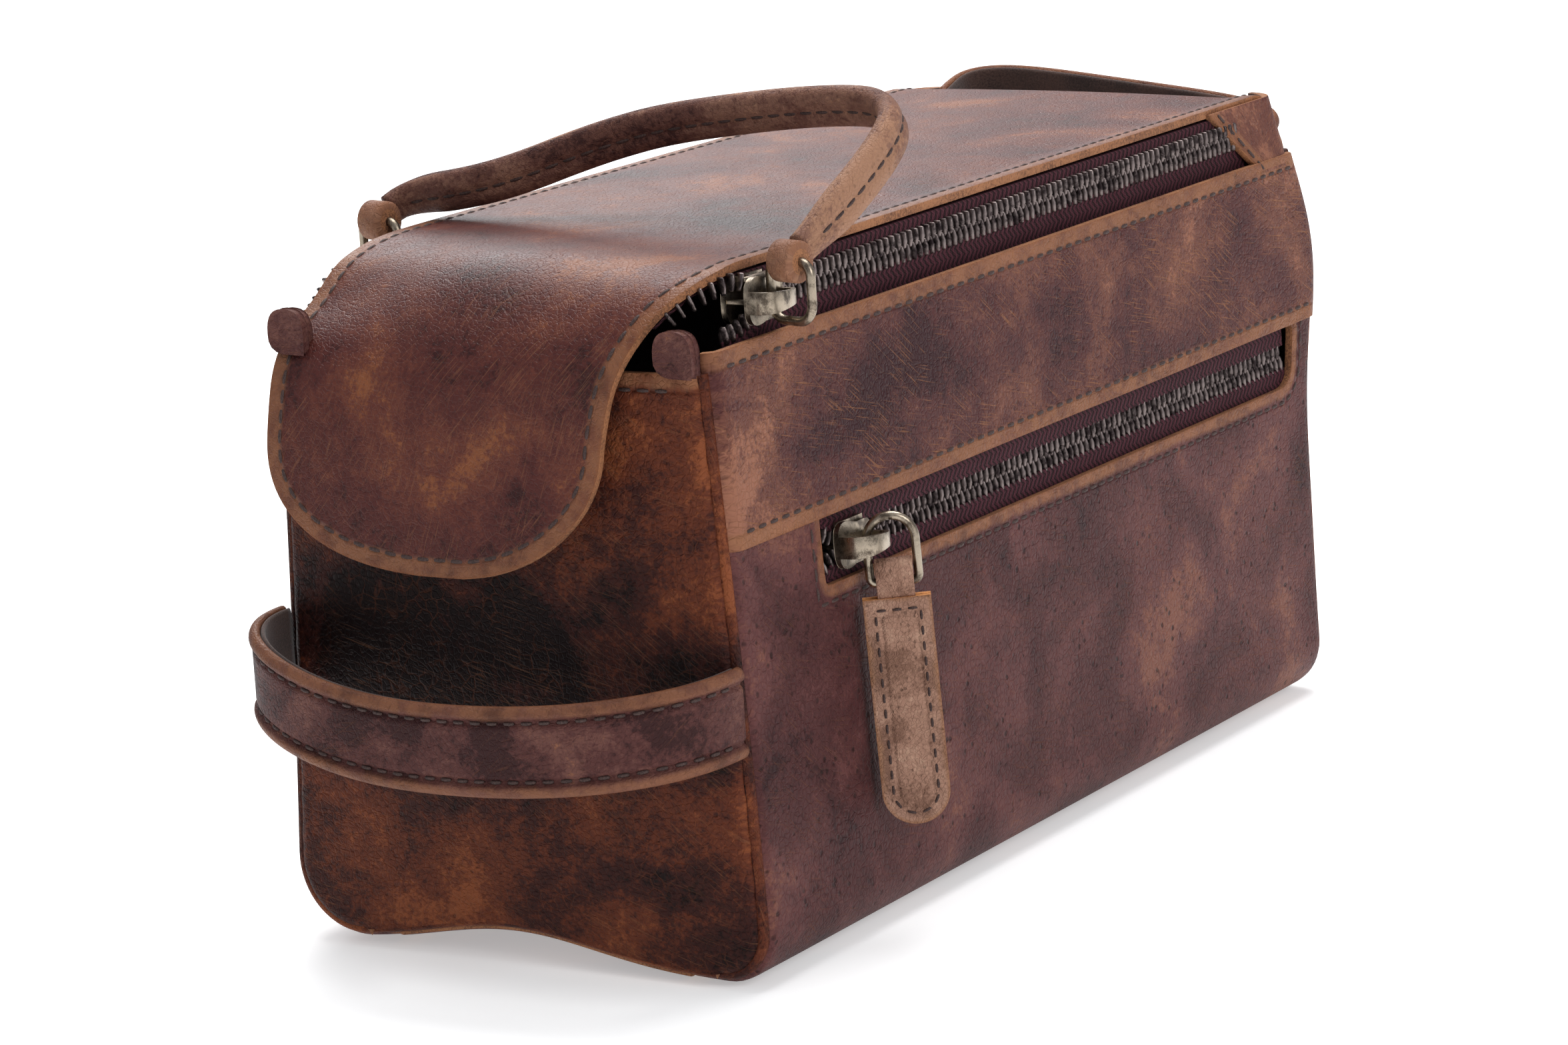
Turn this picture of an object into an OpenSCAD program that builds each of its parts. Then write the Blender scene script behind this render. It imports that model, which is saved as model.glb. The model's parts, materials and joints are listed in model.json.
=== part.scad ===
// Leather toiletry bag: a boxy body, a full-length lid hinged at the far end that folds down over
// the near end as a tongue, two zippers drawn by one rolled handle, a zipped side pocket, a carry
// strap on the near end and a hanging loop on the far end.
// Millimetres, +Z up. The origin is the middle of the base, on the surface it stands on.
// +X runs to the far (hinge) end and -Y is the pocket side.

/* [Body] */
// Length of the body along X
body_l = 254; // [240:1:270]
// Width across the base
base_w = 114; // [108:1:120]
// Width across the top edges of the two sides
top_w = 101; // [100:1:103]
// Height of the top edges of the two sides
side_h = 125; // [124:1:126]
// Height of the seam between the lower panels and the upper bands
band_z = 88; // [87:1:92]
// Height of the near end panel
near_h = 121; // [116:1:122]
// Thickness of the leather
leather = 2; // [1.6:0.1:2]
// Thickness of the lining cloth
cloth = 0.6; // [0.4:0.1:0.6]

/* [Lid] */
// Height of the lid's outer face
lid_z = 140; // [139.8:0.1:141]
// Width of the lid
lid_w = 98; // [97:0.5:98]
// Where the lid bends at the far end
hinge_x = 112; // [108:1:116]
// Where the lid starts to fold down at the near end
fold_x = -104; // [-106:1:-102]
// Outer radius of that fold
fold_r = 29; // [29:0.5:31]
// Angle that the fold turns through
fold_deg = 80; // [78:1:82]
// Straight length of the tongue below the fold
tongue_l = 37; // [30:1:38]

/* [Zippers] */
// Width of the closed chain
chain_w = 6; // [5.8:0.1:6]
// Thickness of the teeth
chain_t = 3; // [2.8:0.1:3]
// Distance between teeth
tooth_pitch = 4; // [3:0.5:6]
// Length of a slider
slider_l = 13; // [11:0.5:13]
// Place along X of the front top slider, closed
front_slider_x = -104; // [-106:1:-103]
// Place along X of the back top slider, closed
back_slider_x = -78; // [-80:1:-76]
// Place along X of the pocket slider, closed
pocket_slider_x = -80; // [-81:1:-78]

/* [Pocket] */
// Near end of the pocket's zipper window
window_x0 = -92; // [-92:1:-90]
// Far end of the pocket's zipper window
window_x1 = 122; // [100:1:122]
// Height of the middle of the window
window_z = 79; // [78:0.1:80]
// Height of the window
window_h = 13.6; // [12:0.1:14]
// Depth of the pocket's pouch behind the panel
pouch_d = 17.5; // [16:0.5:20]
// Width of the pull tab
tab_w = 13.6; // [12:0.1:13.8]
// Length of the pull tab
tab_l = 46; // [35:1:48]

/* [Straps] */
// Width of the carry strap and of the hanging loop
strap_w = 18; // [16:0.5:19]
// How far the carry strap bows out from the near end
carry_bow = 27; // [22:1:30]
// Height of the carry strap's middle
carry_z = 55; // [50:1:58]
// How far the hanging loop bows out from the far end
loop_bow = 22; // [18:1:24]
// Height of the hanging loop's middle
loop_z = 130.5; // [120:0.5:131]
// Lean of the handle from upright, towards the far end
handle_lean = 60; // [50:1:60]
// Width of the handle's strap
handle_w = 11; // [9:0.5:12]
// Thickness of the handle's strap
handle_t = 5; // [4:0.5:5]

/* [Hidden] */
$fn = 48;

gap = 0.3;                                   // running gap between bodies
joint_gap = 0.05;                            // gap between sewn pieces of one body
half_l = body_l / 2;
slope = (base_w - top_w) / 2 / side_h;       // how fast a side leans in
tilt = atan(slope);
lid_half = lid_w / 2;
skin = leather + cloth;
cavity = 1.2;                                // space behind the leather for tapes
end_inset = 4;                                   // board and linings, in from the end panels
side_inset = 6;                                  // board, in from the long walls
board_top = leather + 2;
pouch_margin = 6;                                // pouch past the window
stub_h = 6;
tape_t = 0.6;
tape_y = top_w / 2 - leather - 0.4;          // middle of the top zippers' tapes
chain_z = 132;                               // middle of the top zippers' chains
row_gap = 1.2;                               // slot between two rows of teeth
zip_x0 = -112;
zip_x1 = 105;
facing_x = 106;
slider_gap = 4;                              // height of a slider's channel
slider_plate = 1.2;
slider_w = 9.4;
flange = 1;
slit = 1.4;
post_t = 0.6;
wire = 0.9;                                  // radius of the ring wire
bridge_rise = 5;                             // clear height under the pocket slider's bridge
top_rise = 3.8;                              // clear height under a top slider's bridge
bridge_t = 1;
bridge_w = 4;
ring_r = 4.85;                               // half the width of the pocket ring
ring_leg = 8.5;
ring_turn = 31;                              // turn of the pocket ring about its own upright
tab_t = 3.4;
top_ring_drop = 12.1;                        // height of a top ring below the handle's axis
top_ring_w = 9;
handle_z = 139.6;
knob_r = 3.2;
knob_l = 5;
strap_t = 1.6;
strap_lining_t = 0.8;
strap_clear = 4;                             // space between a strap's moving part and the end
anchor_l = 2.4;
anchor_h = 6;
pad = 1;                                     // cutters run past faces by this

// The handle's route in its own plane: along its axis, then away from it.
handle_route = [
    [59.4, 3.5], [59, 6.6], [55.5, 9.5], [50, 13], [41, 19], [31, 26], [20, 33.5], [8, 41],
    [-2, 45.5], [-12, 49], [-26, 52.5], [-39, 54], [-48, 53.5], [-55, 50], [-59.5, 43],
    [-62, 34], [-62.5, 24], [-61, 15], [-59.6, 8.4], [-59.4, 3.5]];

// Half the outer width of the body at height z.
function side_y(z) = base_w / 2 - slope * z;
function axis_y(slider_y) = slider_y + top_ring_w / 2;

ring_inner_y = tape_y + slider_gap / 2 + slider_plate + top_rise / 2;
knob_y = axis_y(ring_inner_y);
axis_skew = atan((back_slider_x - front_slider_x) / (2 * ring_inner_y));
axis_mid_x = (front_slider_x + back_slider_x) / 2;
knob_s = knob_y / cos(axis_skew);

module block(lo, hi) translate(lo) cube(hi - lo);

// A prism along X of an outline in (y, z), and one along Y of an outline in (x, z).
module along_x(x0, x1) translate([x0, 0, 0]) rotate([90, 0, 90]) linear_extrude(x1 - x0) children();
module along_y(y0, y1) translate([0, y1, 0]) rotate([90, 0, 0]) linear_extrude(y1 - y0) children();

module rod(from, to, r) {
    d = to - from;
    translate(from)
        rotate([0, atan2(norm([d.x, d.y]), d.z), atan2(d.y, d.x)])
            cylinder(r = r, h = norm(d));
}

// A strip of a leaning side wall, `inset` in from its outer face.
module wall(z0, z1, inset, t) {
    polygon([[-side_y(z0) + inset, z0], [-side_y(z0) + inset + t, z0],
             [-side_y(z1) + inset + t, z1], [-side_y(z1) + inset, z1]]);
}

module back() mirror([0, 1, 0]) children();

// The pocket zipper's frame: origin on the outer face at the middle of the window, +Z up the slope.
module on_pocket() translate([0, -side_y(window_z), window_z]) rotate([-tilt, 0, 0]) children();

module base_panel() color("saddlebrown")
    block([-half_l, -base_w / 2, 0], [half_l, base_w / 2, leather]);

module base_board() color("peru")
    block([-half_l + end_inset, -base_w / 2 + side_inset, leather + joint_gap],
          [half_l - end_inset, base_w / 2 - side_inset, board_top]);

module base_lining() color("dimgray")
    block([-half_l + end_inset, -base_w / 2 + side_inset, board_top + joint_gap],
          [half_l - end_inset, base_w / 2 - side_inset, board_top + cloth]);

module side_leather(z0, z1) along_x(-half_l, half_l) wall(z0, z1, 0, leather);

module front_panel() color("saddlebrown") difference() {
    side_leather(leather + joint_gap, band_z);
    on_pocket() block([window_x0, -leather, -window_h / 2], [window_x1, 2 * leather, window_h / 2]);
}
module front_band() color("sienna") side_leather(band_z + joint_gap, side_h);
module back_panel() color("saddlebrown") back() side_leather(leather + joint_gap, band_z);
module back_band() color("sienna") back() side_leather(band_z + joint_gap, side_h);

module end_outline(z0, z1, inset) polygon([
    [-side_y(z0) + inset, z0], [side_y(z0) - inset, z0],
    [side_y(z1) - inset, z1], [-side_y(z1) + inset, z1]]);

module near_end_panel() color("saddlebrown")
    along_x(-half_l, -half_l + leather)
        end_outline(leather + joint_gap, near_h, leather + joint_gap);

module far_end_panel() color("saddlebrown")
    along_x(half_l - leather, half_l)
        end_outline(leather + joint_gap, lid_z - leather - joint_gap, leather + joint_gap);

module hinge_strip() color("sienna")
    block([hinge_x + gap, -lid_half, lid_z - leather], [half_l, lid_half, lid_z]);

lining_z0 = board_top + cloth + joint_gap;
lining_z1 = 117;
module back_lining() color("dimgray")
    back() along_x(-half_l + end_inset, half_l - end_inset)
        wall(lining_z0, lining_z1, leather + cavity, cloth);
module front_lining() color("dimgray")
    along_x(-half_l + end_inset, half_l - end_inset) wall(lining_z0, lining_z1, pouch_d + 2 * cloth, cloth);
module near_lining() color("dimgray")
    along_x(-half_l + leather + cavity, -half_l + leather + cavity + cloth)
        end_outline(lining_z0, lining_z1, leather + 4);
module far_lining() color("dimgray")
    along_x(half_l - leather - cavity - cloth, half_l - leather - cavity)
        end_outline(lining_z0, lining_z1, leather + 4);

pouch_x0 = window_x0 - pouch_margin;
pouch_x1 = window_x1;
pouch_z0 = -60;
pouch_z1 = 15;
pouch_y0 = leather + tape_t + 2 * joint_gap + 0.3;
module pocket_pouch() color("slategray") on_pocket() difference() {
    block([pouch_x0, pouch_y0, pouch_z0], [pouch_x1, pouch_d, pouch_z1]);
    block([pouch_x0 + cloth, pouch_y0 - pad, pouch_z0 + cloth],
          [pouch_x1 - cloth, pouch_d - cloth, pouch_z1 - cloth]);
}

// One row of teeth on its cord. Its root is at z = 0, its tips point up.
row_h = (chain_w - row_gap) / 2;
cord_h = 0.8;
tooth_l = 1.4;
module teeth_row(x0, x1) {
    block([x0, -chain_t / 2, 0], [x1, chain_t / 2, cord_h]);
    for (x = [x0 + tooth_l : tooth_pitch : x1 - tooth_l])
        block([x, -chain_t / 2, 0], [x + tooth_l, chain_t / 2, row_h]);
}
module row_down() mirror([0, 0, 1]) children();

module top_tape(z0, z1)
    block([zip_x0, -tape_y - tape_t / 2, z0], [zip_x1, -tape_y + tape_t / 2, z1]);
tape_low = 118;
module front_tape_lower() color("indigo") top_tape(tape_low, chain_z - chain_w / 2 - joint_gap);
module back_tape_lower() color("indigo") back() front_tape_lower();
module front_tape_upper() color("indigo")
    top_tape(chain_z + chain_w / 2 + joint_gap, lid_z - leather - joint_gap);
module back_tape_upper() color("indigo") back() front_tape_upper();
module front_teeth_lower() color("dimgray")
    translate([0, -tape_y, chain_z - chain_w / 2]) teeth_row(zip_x0, zip_x1);
module back_teeth_lower() color("dimgray") back() front_teeth_lower();
module front_teeth_upper() color("dimgray")
    translate([0, -tape_y, chain_z + chain_w / 2]) row_down() teeth_row(zip_x0, zip_x1);
module back_teeth_upper() color("dimgray") back() front_teeth_upper();

facing_t = 1.6;
module front_facing() color("sienna")
    block([facing_x, -top_w / 2, side_h + joint_gap],
          [half_l, -top_w / 2 + facing_t, lid_z - leather - joint_gap]);
module back_facing() color("sienna") back() front_facing();

stub_l = 7;
module front_stub() color("sienna")
    block([zip_x0 - stub_l, -tape_y - 1, side_h + joint_gap],
          [zip_x0 - joint_gap, -tape_y + 1, side_h + stub_h]);
module back_stub() color("sienna") back() front_stub();

// The pocket's zipper, in the pocket's frame.
ptape_y0 = leather + joint_gap;
ptape_mid = ptape_y0 + tape_t / 2;
ptape_reach = 12;
module pocket_tape() block([window_x0, ptape_y0, chain_w / 2 + joint_gap],
                           [window_x1, ptape_y0 + tape_t, ptape_reach]);
module pocket_tape_upper() color("indigo") on_pocket() pocket_tape();
module pocket_tape_lower() color("indigo") on_pocket() row_down() pocket_tape();
module pocket_row() translate([0, ptape_mid, -chain_w / 2]) teeth_row(window_x0 + 2, window_x1 - 1);
module pocket_teeth_lower() color("dimgray") on_pocket() pocket_row();
module pocket_teeth_upper() color("dimgray") on_pocket() row_down() pocket_row();
module pocket_stops() color("silver") on_pocket()
    for (s = [-1, 1])
        translate([window_x0 + 1, ptape_mid, s * (row_gap + row_h) / 2])
            cube([1.6, chain_t, row_h], center = true);

// A slider round a chain that runs along X, its outer face towards -Y and its nose towards -X.
module slider(rise) {
    mid = slider_gap / 2;
    for (s = [-1, 1])
        translate([0, s * (mid + slider_plate / 2), 0]) slider_plate_shape();
    for (s = [-1, 1], f = [-1, 1])
        translate([0, f * (slit / 2 + (mid - slit / 2) / 2), s * (slider_w - flange) / 2])
            cube([slider_l * 0.7, mid - slit / 2 + joint_gap, flange], center = true);
    translate([-slider_l / 2 + 1.5, 0, 0]) cube([3, slider_gap + joint_gap, post_t], center = true);
    translate([0, -mid - slider_plate, 0]) bridge(rise);
}
module slider_plate_shape() rotate([90, 0, 0]) linear_extrude(slider_plate, center = true) union() {
    square([slider_l * 0.7, slider_w], center = true);
    translate([-slider_l * 0.2, 0]) circle(d = slider_w - 1.8);
    translate([slider_l * 0.1, 0]) square([slider_l * 0.8, slider_w * 0.6], center = true);
}
bridge_l = 10;
module bridge(rise) {
    translate([0, -rise - bridge_t / 2, 0]) cube([bridge_l, bridge_t, bridge_w], center = true);
    for (s = [-1, 1])
        translate([s * (bridge_l - bridge_t) / 2, -rise / 2, 0])
            cube([bridge_t, rise + 2 * joint_gap, bridge_w], center = true);
}
module front_slider() color("silver") translate([front_slider_x, -tape_y, chain_z]) slider(top_rise);
module back_slider() color("silver") translate([back_slider_x, tape_y, chain_z]) back() slider(top_rise);

// The frame of the handle's axis: X along the axis (towards +Y), Z up.
module on_axis() translate([axis_mid_x, 0, handle_z]) rotate([0, 0, 90 - axis_skew]) children();

module top_ring() {
    half = top_ring_w / 2 / cos(axis_skew);
    corners = [[knob_s - half, 0], [knob_s + half, 0], [knob_s + half, -top_ring_drop],
               [knob_s - half, -top_ring_drop]];
    for (i = [0:3]) {
        a = corners[i];
        b = corners[(i + 1) % 4];
        rod([a.x, 0, a.y], [b.x, 0, b.y], wire);
        translate([a.x, 0, a.y]) sphere(r = wire);
    }
}
module back_ring() color("silver") on_axis() top_ring();
module front_ring() color("silver") on_axis() mirror([1, 0, 0]) top_ring();

module knob() translate([knob_s - knob_l / 2, 0, 0]) rotate([0, 90, 0]) difference() {
    cylinder(r = knob_r, h = knob_l);
    translate([0, 0, -pad]) cylinder(r = wire + 0.5, h = knob_l + 2 * pad);
}
module back_knob() color("sienna") on_axis() knob();
module front_knob() color("sienna") on_axis() mirror([1, 0, 0]) knob();

// The handle's strap: an oval swept along the route, flat side across the handle's plane.
oval_n = 12;
route_n = len(handle_route);
function route_dir(i) =
    let (d = handle_route[min(i + 1, route_n - 1)] - handle_route[max(i - 1, 0)]) d / norm(d);
function strap_half(i) = let (end = min(i, route_n - 1 - i)) handle_w / 2 * min(1, 0.5 + 0.2 * end);
function strap_thick(i) = let (end = min(i, route_n - 1 - i)) handle_t / 2 * min(1, 0.8 + 0.1 * end);
function strap_ring(i) = let (p = handle_route[i], d = route_dir(i)) [
    for (k = [0 : oval_n - 1])
        let (c = strap_thick(i) * cos(360 * k / oval_n), s = strap_half(i) * sin(360 * k / oval_n))
        [p.x - d.y * c, s, p.y + d.x * c]];
module handle_strap() color("sienna") on_axis() rotate([handle_lean, 0, 0]) {
    points = [for (i = [0 : route_n - 1]) each strap_ring(i)];
    sides = [for (i = [0 : route_n - 2], k = [0 : oval_n - 1])
        let (a = i * oval_n + k, b = i * oval_n + (k + 1) % oval_n) [a, b, b + oval_n, a + oval_n]];
    first = [for (k = [oval_n - 1 : -1 : 0]) k];
    last = [for (k = [0 : oval_n - 1]) (route_n - 1) * oval_n + k];
    polyhedron(points, concat([first, last], sides));
}

module lid_leather() color("sienna")
    block([fold_x + gap, -lid_half, lid_z - leather], [hinge_x - gap, lid_half, lid_z]);
module lid_lining() color("dimgray")
    block([fold_x + 2, -lid_half + 3, lid_z - skin - joint_gap],
          [hinge_x - 2, lid_half - 3, lid_z - leather - joint_gap]);

// The fold and the tongue, as a profile in (x, z) cut to the tongue's outline in (y, z).
tongue_y0 = -31;
tongue_y1 = 46;
tongue_round = 26;
shoulder_y = -44;                            // where the tongue's front edge leaves the lid's
shoulder_low = 116;
shoulder_high = 134;
module fold_profile(outer, inner) {
    cz = lid_z - fold_r;
    translate([fold_x, cz]) {
        difference() {
            intersection() {
                difference() {
                    circle(r = fold_r - outer, $fn = 96);
                    circle(r = fold_r - inner, $fn = 96);
                }
                polygon([[-gap, 0], [-gap, 2 * fold_r], [-2 * fold_r, 2 * fold_r], [-2 * fold_r, 0]]);
            }
            rotate(90 + fold_deg) translate([0, -0.01]) square([2 * fold_r, 2 * fold_r]);
        }
        rotate(90 + fold_deg) translate([fold_r - inner, -0.02]) square([inner - outer, tongue_l]);
    }
}
module tongue_outline(inset) {
    low = lid_z - fold_r + fold_r * cos(fold_deg) - tongue_l;
    y0 = tongue_y0 + inset;
    y1 = tongue_y1 - inset;
    r = tongue_round - inset;
    for (y = [y0 + r, y1 - r]) translate([y, low + inset + r]) circle(r = r);
    translate([y0 + r, low + inset]) square([y1 - y0 - 2 * r, 2 * r]);
    translate([y0, low + inset + r]) square([y1 - y0, lid_z]);
    polygon([[y0, shoulder_low], [y0, lid_z], [shoulder_y + inset, lid_z],
             [shoulder_y + inset, shoulder_high]]);
}
module tongue_layer(outer, inner, inset) intersection() {
    along_y(-lid_half, lid_half) fold_profile(outer, inner);
    along_x(-2 * half_l, 0) tongue_outline(inset);
}
module tongue_leather() color("sienna") tongue_layer(0, leather, 0);
module tongue_lining() color("dimgray") tongue_layer(leather + joint_gap, skin, 2);

// The pull: its frame has X across the tab and Z up, with Y through the ring's thickness.
// The wire passes under the bridge, ring_r to one side of the ring's middle.
module on_pull() on_pocket()
    translate([pocket_slider_x, ptape_mid - slider_gap / 2 - slider_plate - bridge_rise / 2, 0])
        rotate([0, 0, -90 + ring_turn]) translate([ring_r, 0, 0]) children();
module pocket_slider() color("silver") on_pocket()
    translate([pocket_slider_x, ptape_mid, 0]) slider(bridge_rise);
module pocket_ring() color("silver") on_pull() {
    rotate([90, 0, 0]) rotate_extrude(angle = 180) translate([ring_r, 0]) circle(r = wire, $fn = 32);
    for (s = [-1, 1]) {
        rod([s * ring_r, 0, -ring_leg], [s * ring_r, 0, 0], wire);
        translate([s * ring_r, 0, -ring_leg]) sphere(r = wire);
    }
    rod([-ring_r, 0, -ring_leg], [ring_r, 0, -ring_leg], wire);
}

tab_top = ring_leg + 3;
neck_l = 7;
neck_r = 2.1;
neck_t = 1.2;
module tab_outline() {
    translate([-tab_w / 2, -tab_l + tab_w / 2]) square([tab_w, tab_l - tab_w / 2]);
    translate([0, -tab_l + tab_w / 2]) circle(d = tab_w);
}
module tab_layer(y0, y1) on_pull() translate([0, 0, -tab_top]) along_y(y0, y1) tab_outline();
module tab_front() color("peru") tab_layer(-tab_t / 2, -neck_t / 2 - joint_gap);
module tab_back() color("peru") tab_layer(neck_t / 2 + joint_gap, tab_t / 2);
module tab_neck() color("peru") on_pull() translate([0, 0, -ring_leg]) difference() {
    union() {
        translate([-neck_l / 2, 0, 0]) rotate([0, 90, 0]) cylinder(r = neck_r, h = neck_l);
        block([-neck_l / 2, -neck_t / 2, -12], [neck_l / 2, neck_t / 2, 0]);
    }
    translate([-neck_l, 0, 0]) rotate([0, 90, 0]) cylinder(r = wire + 0.3, h = 2 * neck_l);
}

// A flat strap that bows out along +X between two ends at y = -root and y = root.
module bow_area(bow, root, r) {
    translate([0, -root]) square([bow - r, 2 * root]);
    translate([0, -root + r]) square([bow, 2 * (root - r)]);
    for (s = [-1, 1]) translate([bow - r, s * (root - r)]) circle(r = r, $fn = 96);
}
module bow_strap(bow, root, r, t) translate([0, 0, -strap_w / 2]) linear_extrude(strap_w)
    intersection() {
        difference() {
            bow_area(bow, root, r);
            translate([-pad, 0]) bow_area(bow - t + pad, root - t, r - t);
        }
        translate([strap_clear, -2 * root]) square([2 * bow, 4 * root]);
    }
module bow_anchors(root) for (s = [-1, 1])
    translate([anchor_l / 2, s * (root - strap_t / 2), 0])
        cube([anchor_l, strap_t, anchor_h], center = true);

carry_root = side_y(carry_z) - 0.2;
carry_round = 22;
loop_root = lid_half - 3;
loop_round = 14;
module at_near() translate([-half_l, 0, carry_z]) mirror([1, 0, 0]) children();
module at_far() translate([half_l, 0, loop_z]) children();
module carry_strap() color("sienna") at_near() bow_strap(carry_bow, carry_root, carry_round, strap_t);
module carry_lining() color("saddlebrown") at_near()
    bow_strap(carry_bow - strap_t - joint_gap, carry_root - strap_t - joint_gap,
              carry_round - strap_t, strap_lining_t);
module carry_anchors() color("sienna") at_near() bow_anchors(carry_root);
module hang_loop() color("saddlebrown") at_far() bow_strap(loop_bow, loop_root, loop_round, strap_t);
module loop_lining() color("saddlebrown") at_far()
    bow_strap(loop_bow - strap_t - joint_gap, loop_root - strap_t - joint_gap,
              loop_round - strap_t, strap_lining_t);
module loop_anchors() color("saddlebrown") at_far() bow_anchors(loop_root);

base_panel();
base_board();
base_lining();
front_panel();
front_band();
back_panel();
back_band();
near_end_panel();
far_end_panel();
hinge_strip();
front_lining();
back_lining();
near_lining();
far_lining();
pocket_pouch();
front_tape_lower();
back_tape_lower();
front_teeth_lower();
back_teeth_lower();
front_facing();
back_facing();
front_stub();
back_stub();
pocket_tape_upper();
pocket_tape_lower();
pocket_teeth_upper();
pocket_teeth_lower();
pocket_stops();
carry_anchors();
loop_anchors();
lid_leather();
lid_lining();
front_tape_upper();
back_tape_upper();
front_teeth_upper();
back_teeth_upper();
tongue_leather();
tongue_lining();
front_slider();
front_ring();
back_slider();
back_ring();
handle_strap();
front_knob();
back_knob();
pocket_slider();
pocket_ring();
tab_front();
tab_back();
tab_neck();
carry_strap();
carry_lining();
hang_loop();
loop_lining();
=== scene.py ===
import json
import math

import bmesh
import bpy
import numpy as np
from mathutils import Matrix, Vector


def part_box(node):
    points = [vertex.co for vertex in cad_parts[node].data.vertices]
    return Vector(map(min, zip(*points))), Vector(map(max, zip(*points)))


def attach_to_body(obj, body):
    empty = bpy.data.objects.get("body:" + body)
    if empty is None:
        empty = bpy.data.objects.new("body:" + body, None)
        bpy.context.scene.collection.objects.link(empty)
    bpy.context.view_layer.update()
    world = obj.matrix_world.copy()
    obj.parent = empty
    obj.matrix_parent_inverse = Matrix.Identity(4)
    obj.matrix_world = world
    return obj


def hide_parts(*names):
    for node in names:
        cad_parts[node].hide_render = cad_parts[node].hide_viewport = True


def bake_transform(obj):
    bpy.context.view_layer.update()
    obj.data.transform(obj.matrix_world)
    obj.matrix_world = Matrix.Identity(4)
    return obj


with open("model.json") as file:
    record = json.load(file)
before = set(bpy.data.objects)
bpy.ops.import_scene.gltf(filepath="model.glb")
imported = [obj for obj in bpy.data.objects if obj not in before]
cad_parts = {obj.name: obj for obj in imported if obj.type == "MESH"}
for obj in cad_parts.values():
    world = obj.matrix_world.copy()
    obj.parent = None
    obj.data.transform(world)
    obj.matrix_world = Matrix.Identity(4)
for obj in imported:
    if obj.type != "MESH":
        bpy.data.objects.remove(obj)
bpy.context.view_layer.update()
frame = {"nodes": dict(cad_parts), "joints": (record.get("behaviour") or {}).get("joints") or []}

MM = 0.001
JOINT = {j["name"]: j for j in frame["joints"]}


# ---------------------------------------------------------------- sizes, in millimetres

def span(node):
    low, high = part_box(node)
    return np.array(low) / MM, np.array(high) / MM


def unit(v):
    return v / np.linalg.norm(v, axis=-1, keepdims=True)


def pivot(joint):
    return np.array(JOINT[joint]["pos_m"], float) / MM


def axis(joint):
    return unit(np.array(JOINT[joint]["axis"], float))


HALF_L, HALF_W = span("base_panel")[1][:2]
TOP_HALF = -span("front_facing")[0][1]
SIDE_H = span("front_band")[1][2]
NEAR_H = span("near_end_panel")[1][2]
LID_Z = span("lid_leather")[1][2]
HINGE_X = pivot("lid_hinge")[0]
FOLD_X = pivot("tongue_lift")[0]
SLOPE = (HALF_W - TOP_HALF) / SIDE_H
LEAN = math.atan(SLOPE)
HIDE_T = 1.7          # leather
CLOTH_T = 0.6
GROOVE = 2.2          # depth and reach of a turned seam
FRONT, BACK = -1, 1
NAME = {FRONT: "front", BACK: "back"}
CORNER = {FRONT: 11.0, BACK: 17.0}      # radius of the two long bottom edges
STITCH_IN = 3.3       # a row of stitches, in from its cut edge
FOLD_R = 29.0
FOLD_TURN = math.radians(80)
NUDGE = 0.05          # for the slopes of surfaces
ROUND_OFF = 0.42      # of a sheet's thickness, at its edges
NO_EDGE = 60.0        # further from a cut edge than any wear reaches

LID_BEND = ("bag", "lid", (0.120, 0, 0.140), (0.104, 0, 0.140))
TONGUE_BEND = ("lid", "tongue", (-0.100, 0, 0.140), (-0.120, 0, 0.136))
CARRY_BEND = ("bag", "carry_strap", (-0.1275, 0, 0.055), (-0.144, 0, 0.055))
LOOP_BEND = ("bag", "hang_loop", (0.1275, 0, 0.1305), (0.142, 0, 0.1305))


# ---------------------------------------------------------------- small maths

def smooth(t):
    t = np.clip(t, 0, 1)
    return t * t * (3 - 2 * t)


def bell(t):
    return np.exp(-np.square(t))


def steps(low, high, n, pull=0.5):
    """n values from low to high, closer together at both ends."""
    t = np.linspace(0, 1, n)
    return low + (high - low) * ((1 - pull) * t + pull * (1 - np.cos(np.pi * t)) / 2)


def run(path):
    """Length along a path up to each of its points."""
    path = np.asarray(path, float)
    return np.concatenate([[0], np.cumsum(np.linalg.norm(np.diff(path, axis=0), axis=1))])


def along(path, where):
    """The points of a path at the lengths in where."""
    path, s = np.asarray(path, float), run(path)
    return np.stack([np.interp(where, s, path[:, k]) for k in range(path.shape[1])], axis=1)


def even(path, step):
    s = run(path)[-1]
    return along(path, np.linspace(0, s, max(2, int(round(s / step)) + 1)))


def rounded(points, rounds=3):
    """A polyline with its corners cut again and again, its ends kept."""
    p = np.asarray(points, float)
    for _ in range(rounds):
        q = np.empty((2 * len(p) - 2, p.shape[1]))
        q[0::2] = 0.75 * p[:-1] + 0.25 * p[1:]
        q[1::2] = 0.25 * p[:-1] + 0.75 * p[1:]
        p = np.vstack([p[:1], q, p[-1:]])
    return p


def surface(f, a, b, flip=1):
    """Points of a surface f(a, b), and its outward normals."""
    du = f(a + NUDGE, b) - f(a - NUDGE, b)
    dv = f(a, b + NUDGE) - f(a, b - NUDGE)
    return f(a, b), flip * unit(np.cross(du, dv))


def nearest(points, line):
    """Distance from each point to a dense polyline."""
    flat = points.reshape(-1, points.shape[-1])
    best = np.full(len(flat), 1e9)
    for part in np.array_split(line, max(1, len(line) // 60)):
        best = np.minimum(best, np.linalg.norm(flat[:, None] - part[None], axis=2).min(1))
    return best.reshape(points.shape[:-1])


# ---------------------------------------------------------------- meshes

SPREAD = np.array([[1, 0], [1, 0.3], [0, 1]])      # flat coordinates for shapes that bring none


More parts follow.
